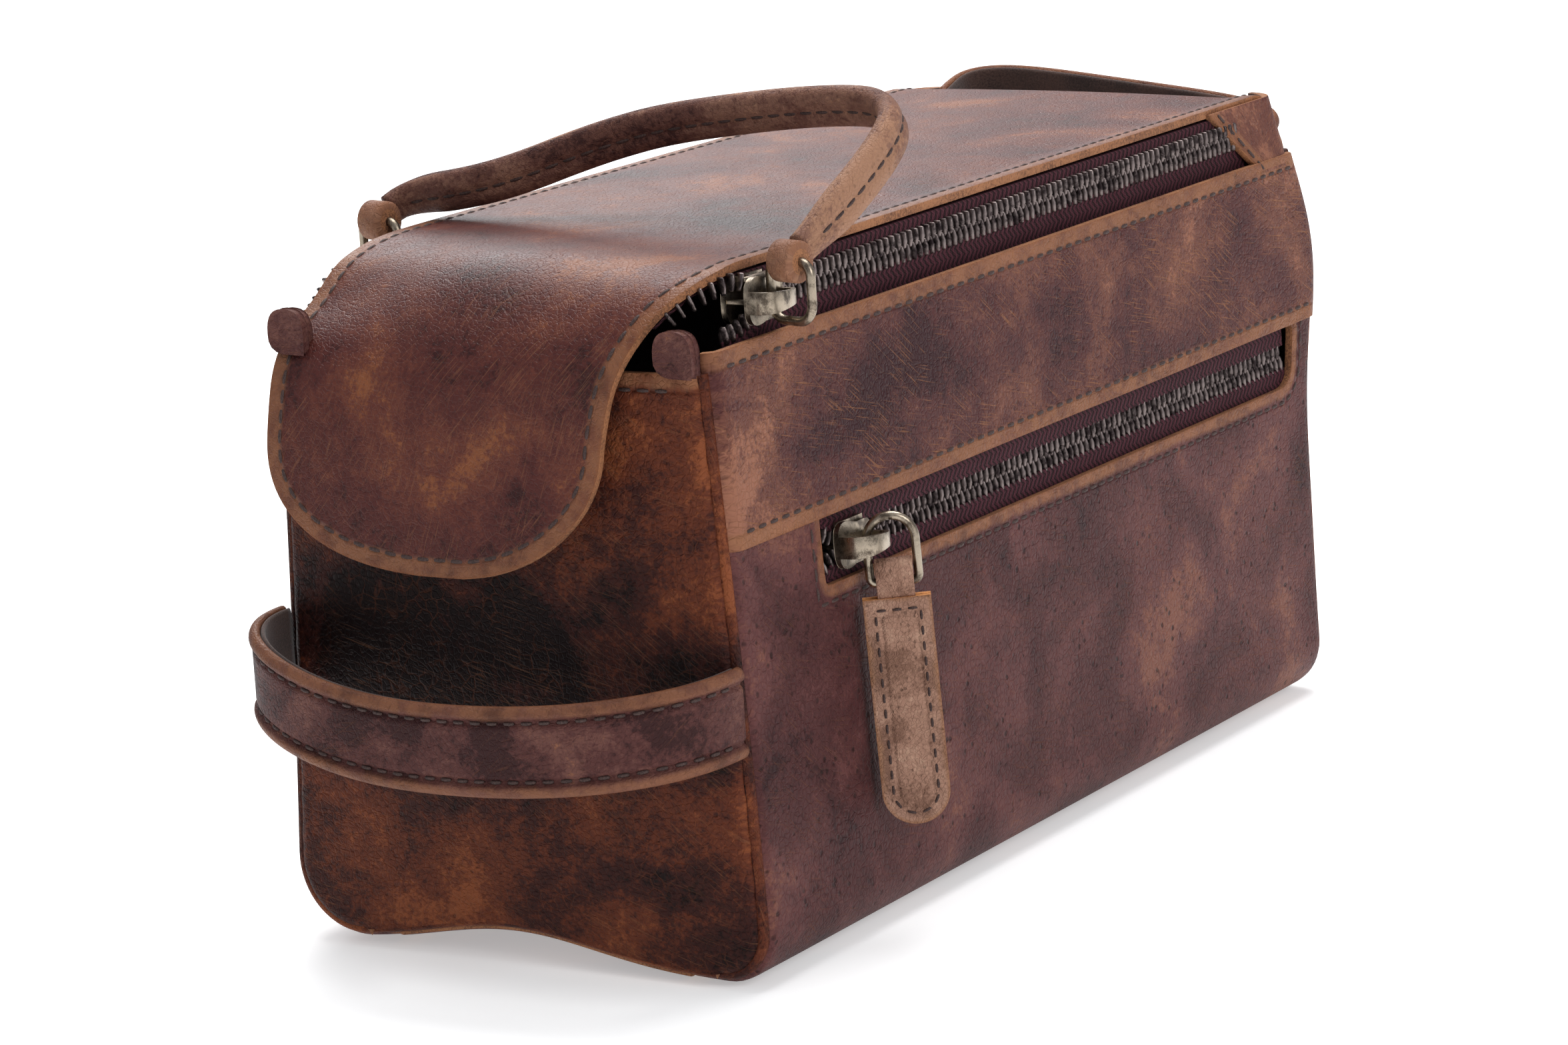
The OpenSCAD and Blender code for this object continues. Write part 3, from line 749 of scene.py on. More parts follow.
def wall(side, lift=0.0):
    """The surface of a long wall: x along it, s down and round it. It curls in at its two end seams."""
    def f(x, s):
        d = np.clip(HALF_L - GROOVE - np.abs(x), 0, GROOVE)
        y, z = section(side, s, lift * smooth(d / GROOVE) - curled(d))
        return settle(np.stack([x + 0 * s, y + 0 * x, z + 0 * x], -1))
    return f


def down_to(z):
    return (SIDE_H - z) / math.cos(LEAN)


WALL_X = HALF_L - GROOVE
# Where each panel is cut from its hide, so that no two have the same marks.
HIDE_PART = {"front_panel": 0, "back_panel": 400, "base_panel": 600, "front_band": 900, "back_band": 1300,
             "facing": 1500, "near_end_panel": 1700, "far_end_panel": 2000}
FLAT_SEAM = {FRONT: 38.0, BACK: 32.0}


def flat_end(side):
    r, z_turn, y_mid = bottom_turn(side)
    return (SIDE_H - z_turn) / math.cos(LEAN) + r * (math.pi / 2 + LEAN) + y_mid - FLAT_SEAM[side]


WINDOW_LOW, WINDOW_HIGH = 72.4, 86.4
WINDOW_X0, WINDOW_X1, WINDOW_R = -91.5, 116.0, 4.5
BAND_LOW = 86.2
BAND_LIFT = 1.1


def window_outline(grow=0.0):
    """The pocket window in (x, s), closed, its far bottom corner the most rounded."""
    x0, x1 = WINDOW_X0 - grow, WINDOW_X1 + grow
    s0, s1 = down_to(WINDOW_HIGH) - grow, down_to(WINDOW_LOW) + grow
    corners = ((x0, s0, 0.6, 180), (x1, s0, 2.0, 270), (x1, s1, WINDOW_R + grow, 0), (x0, s1, 1.6, 90))
    points = corner_arcs(corners, ((x0 + x1) / 2, (s0 + s1) / 2), 8)
    return np.vstack(points + [points[0][:1]])


def inside(points, outline):
    """True for the points inside a closed polyline."""
    x, y = points[..., 0], points[..., 1]
    hit = np.zeros(x.shape, bool)
    for (x0, y0), (x1, y1) in zip(outline[:-1], outline[1:]):
        if y0 != y1:
            crosses = (y0 > y) != (y1 > y)
            hit ^= crosses & (x < (x1 - x0) * (y - y0) / (y1 - y0) + x0)
    return hit


def wall_places(n):
    """Places along a long wall, closest together by its end seams."""
    by_seam = np.array([0.15, 0.5, 1.0])
    return np.r_[steps(-WALL_X, WALL_X, n, 0.12), -WALL_X + by_seam, WALL_X - by_seam]


def touching(cells):
    """The grid points that touch a chosen cell, from a padded grid of cells."""
    return cells[:-1, :-1] | cells[1:, :-1] | cells[:-1, 1:] | cells[1:, 1:]


def long_panel(side):
    """The lower panel of a long wall, which turns under the bag, with the pocket window on the front."""
    f = wall(side)
    s0, s1 = down_to(BAND_LOW + 8), flat_end(side)
    xs = np.unique(np.round(np.r_[wall_places(150), WINDOW_X0, WINDOW_X1], 3))
    ss = np.unique(np.round(np.r_[np.arange(s0, s1, 1.5), s1, down_to(WINDOW_HIGH), down_to(WINDOW_LOW)], 3))
    a, b = np.meshgrid(xs, ss, indexing="ij")
    keep, cut = None, [f(xs, np.full(len(xs), s1))]
    if side == FRONT:
        outline = window_outline()
        middle = np.stack([(a[:-1, :-1] + a[1:, 1:]) / 2, (b[:-1, :-1] + b[1:, 1:]) / 2], -1)
        keep = ~inside(middle, outline)
        dense = even(outline, 0.1)
        by_hole = touching(np.pad(~keep, 1, constant_values=False))
        by_leather = touching(np.pad(keep, 1, constant_values=True))
        for i, j in np.argwhere(by_hole & by_leather):
            to = dense[np.argmin(np.hypot(dense[:, 0] - a[i, j], dense[:, 1] - b[i, j]))]
            a[i, j], b[i, j] = to
        cut.append(f(outline[:, 0], outline[:, 1]))
    name = NAME[side]
    uv = np.stack([a, b + HIDE_PART[f"{name}_panel"]], -1)
    laid(f"{name}_lower_panel", f(a, b), uv, HIDE_T, (BODY_HIDE, *HIDES), "bag", f"{name}_panel",
         slot="leather_body", flip=side == FRONT, keep=keep, cut=cut)
    if side == FRONT:
        below = even(window_outline(STITCH_IN)[15:], 1.0)     # all of it but the edge under the band
        seam("stitches_window", f, below[:, 0], below[:, 1], "bag", flip=side, slot="leather_body")
    xs2 = np.linspace(-WALL_X + 4, WALL_X - 4, 60)
    seam(f"stitches_under_{name}", f, xs2, np.full(60, s1 - STITCH_IN), "bag", flip=side, slot="leather_body")


def band(side):
    """The strip along the top of a long wall. It laps over the lower panel."""
    f = wall(side, BAND_LIFT)
    s1 = down_to(BAND_LOW)
    xs = np.unique(np.round(wall_places(140), 3))
    ss = steps(0, s1, 34, 0.25)
    a, b = np.meshgrid(xs, ss, indexing="ij")
    ends = np.linspace(-WALL_X, WALL_X, 200)
    name = NAME[side]
    laid(f"{name}_upper_band", f(a, b), np.stack([a, b + HIDE_PART[f"{name}_band"]], -1), HIDE_T,
         (BAND_HIDE, *HIDES), "bag", f"{name}_band", slot="leather_band", flip=side == FRONT,
         cut=[f(ends, np.zeros(200)), f(ends, np.full(200, s1))])
    line = np.linspace(-WALL_X + 3.5, WALL_X - 3.5, 120)
    for where, s in (("low", s1 - STITCH_IN), ("top", STITCH_IN)):
        seam(f"stitches_{name}_band_{where}", f, line, np.full(120, s), "bag", flip=side, pitch=4.3,
             length=3.0, slot="leather_band")


def end_reach(side, z):
    """How far an end panel reaches towards one side at height z."""
    radius, _, y_mid = bottom_turn(side)
    r = radius - GROOVE
    low = np.clip(radius - z, 0, r)
    turning = y_mid + np.sqrt(np.clip(r ** 2 - low ** 2, 0, None))
    return np.where(z < radius, turning, HALF_W - SLOPE * z - GROOVE)


def end_panel(end, top, name, node):
    """A near (-1) or far (+1) end panel, its sides and bottom turned in to the seams."""
    def f(t, z):
        y0, y1 = -end_reach(FRONT, z), end_reach(BACK, z)
        y = y0 + (y1 - y0) * t
        outline = np.stack([np.r_[y_line0, y_line1[::-1]], np.r_[z_line, z_line[::-1]]], 1)
        d = np.clip(nearest(np.stack([y + 0 * z, z + 0 * y], -1), outline), 0, GROOVE)
        return settle(np.stack([end * (HALF_L - curled(d)), y + 0 * z, z + 0 * y], -1))
    z_line = np.r_[GROOVE + 17 * (1 - np.cos(np.linspace(0, np.pi / 2, 60))), np.linspace(20, top, 160)]
    y_line0, y_line1 = -end_reach(FRONT, z_line), end_reach(BACK, z_line)
    zs = np.r_[GROOVE + 17 * (1 - np.cos(np.linspace(0.06, np.pi / 2, 16))), np.linspace(20.4, top, 58)]
    t, z = np.meshgrid(steps(0, 1, 76, 0.75), zs, indexing="ij")
    grid = f(t, z)
    laid(name, grid, np.stack([grid[..., 1] + HIDE_PART[node], z], -1), HIDE_T, (END_HIDE, *HIDES), "bag",
         node, slot="leather_body", flip=end < 0, cut=[f(np.linspace(0, 1, 120), np.full(120, top))])
    seam(f"stitches_{name}", f, np.linspace(0.06, 0.94, 80), np.full(80, top - STITCH_IN), "bag",
         flip=end, slot="leather_body")


def welt(end, top, name):
    """The turned seam between an end panel and the panels round it, closed by a thin cord of leather."""
    z = np.r_[np.linspace(top, 20, 60), GROOVE + 17 * (1 - np.sin(np.linspace(0, np.pi / 2, 30)))]
    z = np.clip(z, GROOVE - 0.6, None)
    front = np.stack([-end_reach(FRONT, z) - 0.2, z], 1)
    back = np.stack([end_reach(BACK, z) + 0.2, z], 1)[::-1]
    line = even(np.vstack([front, back]), 1.5)
    path = settle(np.column_stack([np.full(len(line), end * (HALF_L - GROOVE - 0.1)), line]))
    up = np.cross(np.gradient(path, axis=0), (1, 0, 0))
    attach(tube(f"{name}_welt", path, circle(1.25, 10), up, [END_HIDE]), "bag", slot="leather_body")


def base():
    """The base, sewn between the two long panels."""
    y0, y1 = -FLAT_SEAM[FRONT] + 0.2, FLAT_SEAM[BACK] - 0.2
    def f(x, y):
        return settle(np.stack([x + 0 * y, y + 0 * x, 0 * x + 0 * y], -1))
    a, b = np.meshgrid(np.linspace(-WALL_X, WALL_X, 100), np.linspace(y0, y1, 34), indexing="ij")
    line = np.linspace(-WALL_X, WALL_X, 200)
    laid("base_sheet", f(a, b), np.stack([a + HIDE_PART["base_panel"], b], -1), HIDE_T, (BODY_HIDE, *HIDES),
         "bag", "base_panel", slot="leather_body", flip=True,
         cut=[f(line, np.full(200, y)) for y in (y0, y1)])
    for name, y in (("front", y0 + STITCH_IN), ("back", y1 - STITCH_IN)):
        seam(f"stitches_base_{name}", f, line[5:-5], np.full(190, y), "bag", flip=-1, slot="leather_body")


for wall_side in (FRONT, BACK):
    long_panel(wall_side)
    band(wall_side)
end_panel(-1, NEAR_H, "near_end_sheet", "near_end_panel")
end_panel(1, LID_Z - 9, "far_end_sheet", "far_end_panel")
welt(-1, NEAR_H, "near_end")
welt(1, SIDE_H, "far_end")
base()


# ---------------------------------------------------------------- lid and tongue

def arc(cx, cz, r, start, end, n=30):
    a = np.radians(np.linspace(start, end, n))
    return np.stack([cx + r * np.cos(a), cz + r * np.sin(a)], 1)


FAR_CURL = 12.0
FAR_X = HALF_L + 5.6          # the lid's far end, outside the swollen far end panel
SPINE = np.vstack([[[FAR_X, LID_Z - FAR_CURL - 2.5]],
                   arc(FAR_X - FAR_CURL, LID_Z - FAR_CURL, FAR_CURL, 0, 90),
                   arc(FOLD_X, LID_Z - FOLD_R, FOLD_R, 90, 90 + math.degrees(FOLD_TURN), 60)])
TONGUE_DOWN = np.array([-math.cos(FOLD_TURN), -math.sin(FOLD_TURN)])
TONGUE_L = 35.5
SPINE = np.vstack([SPINE, SPINE[-1] + TONGUE_L * TONGUE_DOWN, SPINE[-1] + (TONGUE_L + 3) * TONGUE_DOWN])
S_FOLD = run(SPINE[:32])[-1]          # length up to the start of the fold
FOLD_L = FOLD_R * FOLD_TURN
TIP = FOLD_L + TONGUE_L
LID_FRONT, LID_BACK = -46.6, 48.0
TIP_Y = 2.0
SHOULDER = 50.0                       # where the tongue's round tip starts
LID_SPLIT = -8.0
FRONT_EDGE = rounded([(-300, LID_FRONT), (2, LID_FRONT), (13, LID_FRONT + 1.2), (24, -38.6), (36, -32.6),
                      (SHOULDER, -30.2), (SHOULDER + 12, -30.0)], 4)


def lid_edges(q):
    """The lid's and tongue's front and back edges, q along it from the start of the fold."""
    tip = np.clip((q - SHOULDER) / (TIP - SHOULDER), 0, 1)
    front = np.interp(q, FRONT_EDGE[:, 0], FRONT_EDGE[:, 1])
    front = np.where(q > SHOULDER, TIP_Y + (np.interp(SHOULDER, FRONT_EDGE[:, 0], FRONT_EDGE[:, 1]) - TIP_Y)
                     * np.sqrt(np.clip(1 - tip ** 2, 0, None)), front)
    back = TIP_Y + (LID_BACK - TIP_Y) * np.clip(1 - tip ** 2.4, 0, None) ** (1 / 2.4)
    return front, back


def lid_face(q, y, lift=0.0):
    """The lid's outer face and the tongue's, at q along it from the start of the fold."""
    s = S_FOLD + q
    total = run(SPINE)

    def along(s):
        return np.stack([np.interp(s, total, SPINE[:, k]) for k in (0, 1)])

    x, z = along(s)
    ahead = along(s + 0.8) - along(s - 0.8)
    ahead /= np.linalg.norm(ahead, axis=0)
    out = np.stack([ahead[1], -ahead[0]])
    w = y / LID_BACK
    h = lift - 0.35 - 1.0 * w ** 2 + 0.012 * y
    h = (h - 6.0 * bell((q - 15) / 17) * smooth((y - 2) / 46)
         + 2.4 * bell((q - 19) / 13) * smooth((-y - 14) / 32))
    h = h + 1.4 * smooth((q - 20) / 30) * (1 - w ** 2) - 0.5 * smooth(-q / 40) * np.sin(s / 31) * (1 - w ** 2)
    h = h + 1.0 * smooth((-y - 38) / 8) * smooth((22 - q) / 30)     # the edge stands up over the front slider
    h = h + 0.25 * np.sin(q / 9 + y / 23) * smooth((q + 10) / 30)
    return np.stack([x + out[0] * h, y + 0 * x, z + out[1] * h], -1)


def rows(q, n, inset=0.0):
    """A grid of the lid's face: lengths q by n places across."""
    front, back = lid_edges(q)
    front, back = front + inset, np.maximum(back - inset, front + inset + 0.5)
    across = steps(0, 1, n, 0.35)
    y = front[:, None] + (back - front)[:, None] * across[None]
    return np.broadcast_to(q[:, None], y.shape), y


def cut_at(obj, name, x):
    """Splits a piece across X at x and closes both parts there. The near part becomes a new object."""
    other = bpy.data.objects.new(name, obj.data.copy())
    bpy.context.collection.objects.link(other)
    for piece, way in ((obj, 1), (other, -1)):
        m = bmesh.new()
        m.from_mesh(piece.data)
        beyond = [f for f in m.faces if way * (f.calc_center_median().x - x * MM) < 0]
        bmesh.ops.delete(m, geom=beyond, context="FACES")
        rim = [e for e in m.edges if e.is_boundary]
        for e in rim:
            e.smooth = False
        for f in bmesh.ops.holes_fill(m, edges=rim)["faces"]:
            f.smooth = False
        m.to_mesh(piece.data)
        m.free()
    return other


def lid_and_tongue():
    """One sheet of leather from the far end to the tongue's tip, parted where the tongue starts to move."""
    total, last = -S_FOLD, TIP - 0.12
    q = np.r_[np.linspace(total, LID_SPLIT, 150), np.linspace(LID_SPLIT, SHOULDER, 42)[1:-1],
              SHOULDER + (last - SHOULDER) * np.sin(np.linspace(0, np.pi / 2, 26))]
    a, b = rows(q, 56)
    front, back = lid_edges(q)
    tongue_q = q[q >= LID_SPLIT]
    outline = np.vstack([np.stack([tongue_q, front[q >= LID_SPLIT]], 1),
                         np.stack([tongue_q, back[q >= LID_SPLIT]], 1)[::-1]])
    dense = even(outline, 0.5)
    cut = [lid_face(q, front), lid_face(q, back), lid_face(dense[:, 0], dense[:, 1]),
           lid_face(np.full(40, total), np.linspace(front[0], back[0], 40))]
    obj = sheet("lid_sheet", lid_face(a, b)[::-1], HIDE_T, (LID_HIDE, *HIDES),
                np.stack([a, b], -1)[::-1], cut)
    near = cut_at(obj, "tongue_sheet", FOLD_X - LID_SPLIT)
    attach(obj, LID_BEND, "lid_leather", "hinge_strip", slot="leather_lid")
    attach(near, TONGUE_BEND, "tongue_leather", slot="leather_lid")

    q_in = np.linspace(-(HINGE_X - 4 - FOLD_X), LID_SPLIT, 100)
    a, b = rows(q_in, 30, inset=3.0)
    laid("lid_lining_sheet", lid_face(a, b, -HIDE_T - 0.15), np.stack([a, b], -1), CLOTH_T, (LINING,), "lid",
         "lid_lining", slot="lining_cloth", flip=True)
    a, b = rows(tongue_q[tongue_q < TIP - 2.2], 34, inset=1.6)
    laid("tongue_lining_sheet", lid_face(a, b, -HIDE_T - 0.12), np.stack([a, b], -1), 0.9, (NAP, NAP, NAP),
         TONGUE_BEND, "tongue_lining", slot="lining_cloth", flip=True)

    line = np.linspace(total + 4, LID_SPLIT, 200)
    front, back = lid_edges(line)
    for name, y in (("front", front + STITCH_IN), ("back", back - STITCH_IN)):
        seam(f"stitches_lid_{name}", lid_face, line, y, LID_BEND, flip=-1, slot="leather_lid")
    ys = np.linspace(front[0] + STITCH_IN, back[0] - STITCH_IN, 60)
    seam("stitches_lid_far", lid_face, np.full(60, total + STITCH_IN), ys, "bag", flip=-1, slot="leather_lid")
    ahead = unit(np.gradient(dense, axis=0))
    inward = dense + STITCH_IN * np.stack([-ahead[:, 1], ahead[:, 0]], 1)
    inward = inward[dense[:, 0] > LID_SPLIT + 0.5]
    seam("stitches_tongue", lid_face, inward[:, 0], inward[:, 1], TONGUE_BEND, flip=-1, slot="leather_lid")


# ---------------------------------------------------------------- zippers

TAPE_Y = -span("front_tape_lower")[1][1] + 0.3
CHAIN_DROP = 7.6              # from the axis of the handle down to the top chains
CHAIN_Z = pivot("handle_swing")[2] - CHAIN_DROP
PITCH = 2.4
ZIP_X0, ZIP_X1 = span("front_teeth_lower")[0][0], span("front_teeth_lower")[1][0]
POCKET_Z = 79.0
POCKET_DEEP = 2.35            # from the wall's face in to the pocket zipper's tapes
WINDOW_FRONT = HALF_W - SLOPE * POCKET_Z
TOOTH = pod([(-3.1, 0.34, 0.8), (-2.85, 0.44, 1.1), (-1.1, 0.44, 1.2), (-0.5, 0.36, 0.95),
             (0.0, 0.46, 0.85), (0.42, 0.28, 0.55)], 8)


def on_pocket(x, y, z):
    """A point in the pocket zipper's leaning frame: y inwards from the wall's face, z up it."""
    return np.stack(np.broadcast_arrays(x, -WINDOW_FRONT + y * math.cos(LEAN) + z * math.sin(LEAN),
                                        POCKET_Z - y * math.sin(LEAN) + z * math.cos(LEAN)), -1).astype(float)


def teeth(name, path, across, out, body, node, phase=0.0):
    """One row of teeth along a chain's middle line; across points from their tape to the middle."""
    total = run(path)[-1]
    where = np.arange(0.8 + phase * PITCH, total - 0.5, PITCH)
    centre = along(path, where)
    ahead = unit(along(path, np.minimum(where + 1, total)) - along(path, np.maximum(where - 1, 0)))
    across = unit(np.asarray(across, float) - ahead * (ahead @ np.asarray(across, float))[:, None])
    out = np.cross(ahead, across) * np.sign(np.dot(np.cross(ahead[0], across[0]), out))
    frames = np.stack([across, np.cross(out, across), out], 1)
    verts, faces = copies(*TOOTH, frames, centre)
    return attach(build(name, verts, faces, [TEETH]), body, node, slot="zip_teeth")


def ribbon(name, lines, body, node, flip=False):
    """A tape through several lines that run side by side."""
    grid = np.stack(lines, 1)
    return attach(sheet(name, grid[::-1] if flip else grid, CLOTH_T, (TAPE,)), body, node, slot="zip_tape")


def top_zip(side, name):
    xs = np.linspace(ZIP_X0 - 4, ZIP_X1 + 9, 160)
    y = side * TAPE_Y
    opened = smooth((-98 - xs) / 16) if side == FRONT else smooth((-100 - xs) / 14)
    ripple = 0.12 * np.sin(xs / 2.3)
    droop = 4.2 * opened
    low = [np.stack([xs, np.full(160, y - side * 0.3 * k) + ripple * k, z - droop * (k > 0.5)], 1)
           for k, z in ((0.0, 118.5), (0.6, 124.0), (1.0, CHAIN_Z - 2.4))]
    ribbon(f"{name}_tape_low", low, "bag", f"{name}_tape_lower", flip=side == FRONT)
    path = np.stack([xs, np.full(160, y), CHAIN_Z - droop], 1)
    teeth(f"{name}_teeth_low", path[xs < ZIP_X1 + 3], (0, 0, 1), (0, side, 0), "bag", f"{name}_teeth_lower")

    # along the lid's edge and over the fold
    q = np.linspace(FOLD_X - ZIP_X1 - 3, 30 if side == BACK else 24, 190)
    front, back = lid_edges(q)
    edge_y = front if side == FRONT else back
    tuck = 4.0
    under = lid_face(q, edge_y - side * tuck, -HIDE_T - 0.5)
    over = smooth((q + 6) / 14)
    out = np.stack([0 * q, np.full(len(q), float(side)), 0 * q], 1)
    lip = lid_face(q, edge_y - side * 0.6, -HIDE_T - 0.6) + out * 0.8 * (1 - over)[:, None]
    x_lid = lid_face(q, edge_y)[:, 0]
    chain = np.stack([x_lid, np.full(len(q), y), np.full(len(q), CHAIN_Z)], 1)
    folded = lid_face(q, edge_y, -HIDE_T - 2.6) + out * 0.9
    chain = chain * (1 - over)[:, None] + folded * over[:, None]
    up = unit(lip - chain)
    ribbon(f"{name}_tape_up", [under, lip, chain + up * 2.5], TONGUE_BEND, f"{name}_tape_upper", side == BACK)
    teeth(f"{name}_teeth_up", chain, (0, 0, -1), (0, side, 0), TONGUE_BEND, f"{name}_teeth_upper", 0.5)


def pocket_zip():
    x0, x1 = span("pocket_teeth_lower")[0][0] - 2, span("pocket_teeth_lower")[1][0]
    xs = np.linspace(x0, x1, 150)
    deep = POCKET_DEEP
    opened = 2.7 * smooth((span("pocket_slider")[0][0] + 4 - xs) / 9)
    for name, way in (("upper", 1), ("lower", -1)):
        lines = [on_pocket(xs, deep - 0.3 + 0 * xs, way * (z + opened * (z < 4))) for z in (11.6, 7.0, 2.5)]
        ribbon(f"pocket_tape_{name}_weave", lines, "bag", f"pocket_tape_{name}", flip=way < 0)
        path = on_pocket(xs, deep + 0 * xs, way * opened)
        teeth(f"pocket_teeth_{name}_row", path, on_pocket(0, 0, -way) - on_pocket(0, 0, 0), (0, -1, 0), "bag",
              f"pocket_teeth_{name}", 0.5 * (way > 0))


def placed(shape, origin, x, out, up):
    """A shape drawn in (x, out, up) put at a place, its faces kept outwards."""
    verts, faces, uv = shape
    turn = np.array([x, out, up], float)
    flipped = np.linalg.det(turn) < 0
    return np.asarray(verts) @ turn + origin, [f[::-1] for f in faces] if flipped else faces, uv


def slider(node, origin, out, up, rise):
    """A zip slider: two shaped plates, flanges round the teeth, a nose post and an arched bridge."""
    half = rounded([(-6.3, 0), (-6.2, 3.0), (-4.6, 4.7), (-1.5, 4.6), (0.8, 3.7), (3.4, 3.9), (6.3, 3.6),
                    (6.4, 0)], 2)
    outline = np.vstack([half[:-1], (half * (1, -1))[::-1][:-1]])[::-1]
    shapes = [prism(outline, 2.0, 3.2), prism(outline, -3.2, -2.0),
              prism([(-6, -0.35), (-3.4, -0.2), (-3.4, 0.2), (-6, 0.35)], -2.1, 2.1)]
    for s in (-1, 1):
        for low, high in ((0.75, 2.1), (-2.1, -0.75)):
            shapes.append(prism([(-3.8, s * 4.15 - 0.45), (5.4, s * 4.15 - 0.45), (5.4, s * 4.15 + 0.45),
                                 (-3.8, s * 4.15 + 0.45)], low, high))
    top = 3.2 + rise
    arch = rounded([(-5.9, 2.8), (-6.1, top - 1.0), (-4.2, top + 0.6), (0, top + 0.9), (4.0, top + 0.3),
                    (5.0, top - 1.6), (4.6, 2.8)], 3)
    half_w = np.interp(arch[:, 0], [-6, -2, 5], [2.2, 1.9, 1.3])
    strip = [(-1, -0.45), (1, -0.45), (1, 0.45), (-1, 0.45)]
    path = np.stack([arch[:, 0], arch[:, 1], 0 * arch[:, 0]], 1)
    inwards = np.stack([-np.gradient(arch[:, 1]), np.gradient(arch[:, 0]), 0 * arch[:, 0]], 1)
    shapes.append(sweep(path, strip, unit(inwards), size=np.stack([half_w, np.ones(len(arch))], 1)))
    shapes = [placed(s, origin, (1, 0, 0), out, up) for s in shapes]
    return attach(joined(f"{node}_body", shapes, [BRASS], 0.32), node, node, slot="hardware")


def ring_piece(name, centre, across, up, half_w, high, low, body, node, corner, top_corner,
               wire):
    """A wire ring with rounded corners in the plane of across and up."""
    corners = ((half_w, high, top_corner, 0), (-half_w, high, top_corner, 90), (-half_w, low, corner, 180),
               (half_w, low, corner, 270))
    flat = np.vstack(corner_arcs(corners, (0, (high + low) / 2), 9))
    path = centre + flat[:, :1] * across + flat[:, 1:] * up
    shape = sweep(path, circle(wire, 14), np.cross(across, up), closed=True)
    return attach(joined(name, [shape], [BRASS]), body, node, slot="hardware")


# ---------------------------------------------------------------- handle

HANDLE_AXIS = -axis("handle_swing")
ACROSS_AXIS = np.cross((0, 0, 1), HANDLE_AXIS)
HANDLE_LEAN = math.radians(60)
HANDLE_WIDE = math.cos(HANDLE_LEAN) * ACROSS_AXIS + math.sin(HANDLE_LEAN) * np.array([0, 0, 1])
HANDLE_AWAY = -math.sin(HANDLE_LEAN) * ACROSS_AXIS + math.cos(HANDLE_LEAN) * np.array([0, 0, 1])
KNOB_S = 59.4                 # from the middle of the handle's axis to each knob
# The handle's route in its own plane: along its axis, then away from it.
HANDLE_ROUTE = [(59.4, 3.5), (58.6, 6.4), (54, 9.2), (48, 11.0), (42, 13.2), (36, 16.2), (30, 20.4),
                (24, 25.6), (16, 31.4), (6, 36.8), (-10, 41.5), (-26, 45.2), (-40, 47), (-48, 46.4),
                (-54, 42.5), (-57, 36), (-58.6, 27), (-59.5, 17), (-59.5, 8.4), (-59.4, 3.5)]
HANDLE_HALF_W, HANDLE_HALF_T = 4.6, 2.5


def handle():
    flat = even(rounded(HANDLE_ROUTE, 3), 1.2)
    path = pivot("handle_swing") + flat[:, :1] * HANDLE_AXIS + flat[:, 1:] * HANDLE_AWAY
    ahead = unit(np.gradient(path, axis=0))
    thin = np.cross(HANDLE_WIDE, ahead)
    a = np.arange(36) * 2 * np.pi / 36
    wide = HANDLE_HALF_W * np.sign(np.cos(a)) * np.abs(np.cos(a)) ** 0.8
    deep = HANDLE_HALF_T * np.sign(np.sin(a)) * np.abs(np.sin(a)) ** 0.8
    deep = deep - np.sign(deep) * 0.55 * bell(wide / 0.75)
    total = run(path)[-1]
    end = np.minimum(run(path), total - run(path))
    taper = np.stack([0.72 + 0.28 * smooth(end / 14), 0.80 + 0.20 * smooth(end / 14)], 1)
    front_end = bell((total - run(path)) / 40)
    obj = tube("handle_roll", path, np.stack([wide, deep], 1), thin, [HANDLE_HIDE], 4 + np.abs(wide), taper,
               0.14 * front_end)
    attach(obj, "handle", "handle_strap", slot="leather_strap")
    for name, way in (("outer", 1), ("inner", -1)):
        lift = way * (HANDLE_HALF_T - 0.45) * taper[:, 1:]
        stitches(f"stitches_handle_{name}", (path + thin * lift)[4:-4], (thin * way)[4:-4], "handle")
    for name, way in (("front", -1), ("back", 1)):
        knob(f"{name}_roll", pivot("handle_swing") + way * KNOB_S * HANDLE_AXIS, f"{name}_knob")


def knob(name, centre, node):
    """The strap's end, rolled round the ring's wire, with its raw ends showing."""
    half, radius = 3.1, 3.9
    where = np.array([-1, -0.93, -0.80, 0.80, 0.93, 1.0]) * half
    swell = np.array([0.62, 0.88, 1.0, 1.0, 0.88, 0.62])
    path = centre + where[:, None] * HANDLE_AXIS
    sides = 28
    profile = circle(radius, sides, 1.06)
    verts, faces, uv = sweep(path, profile, (0, 0, 1), size=np.repeat(swell[:, None], 2, 1))
    ends = [0] * ((len(where) - 1) * sides) + [1, 1]
    obj = build(name, verts, faces, [HANDLE_HIDE, EDGE], loop_uv=uv, face_mats=ends,
                edge=np.full(len(verts), 2.2), wear=np.full(len(verts), 0.12))
    attach(obj, "handle", node, slot="leather_strap")


def hardware():
    for side, x in ((FRONT, FRONT_SLIDER_X), (BACK, BACK_SLIDER_X)):
        slider(f"{NAME[side]}_slider", (x, side * TAPE_Y, CHAIN_Z), (0, side, 0), (0, 0, 1), 3.9)
    inwards = on_pocket(0, 1, 0) - on_pocket(0, 0, 0)
    slider("pocket_slider", on_pocket(POCKET_SLIDER_X, POCKET_DEEP, 0), -inwards, PULL_UP, 5.2)
    for name, way in (("front", -1), ("back", 1)):
        ring_piece(f"{name}_ring_wire", pivot("handle_swing") + way * KNOB_S * HANDLE_AXIS, HANDLE_AXIS,
                   np.array([0, 0, 1.0]), 5.4, 0.0, -11.6, f"{name}_slider", f"{name}_ring", 3.6, 2.6, 0.95)
    ring_piece("pocket_ring_wire", pivot("pocket_ring_swing"), PULL_ACROSS, PULL_UP, PULL_R, PULL_R, -8.5,
               "pocket_ring", "pocket_ring", 1.2, PULL_R - 0.01, 0.9)


# ---------------------------------------------------------------- pull tab

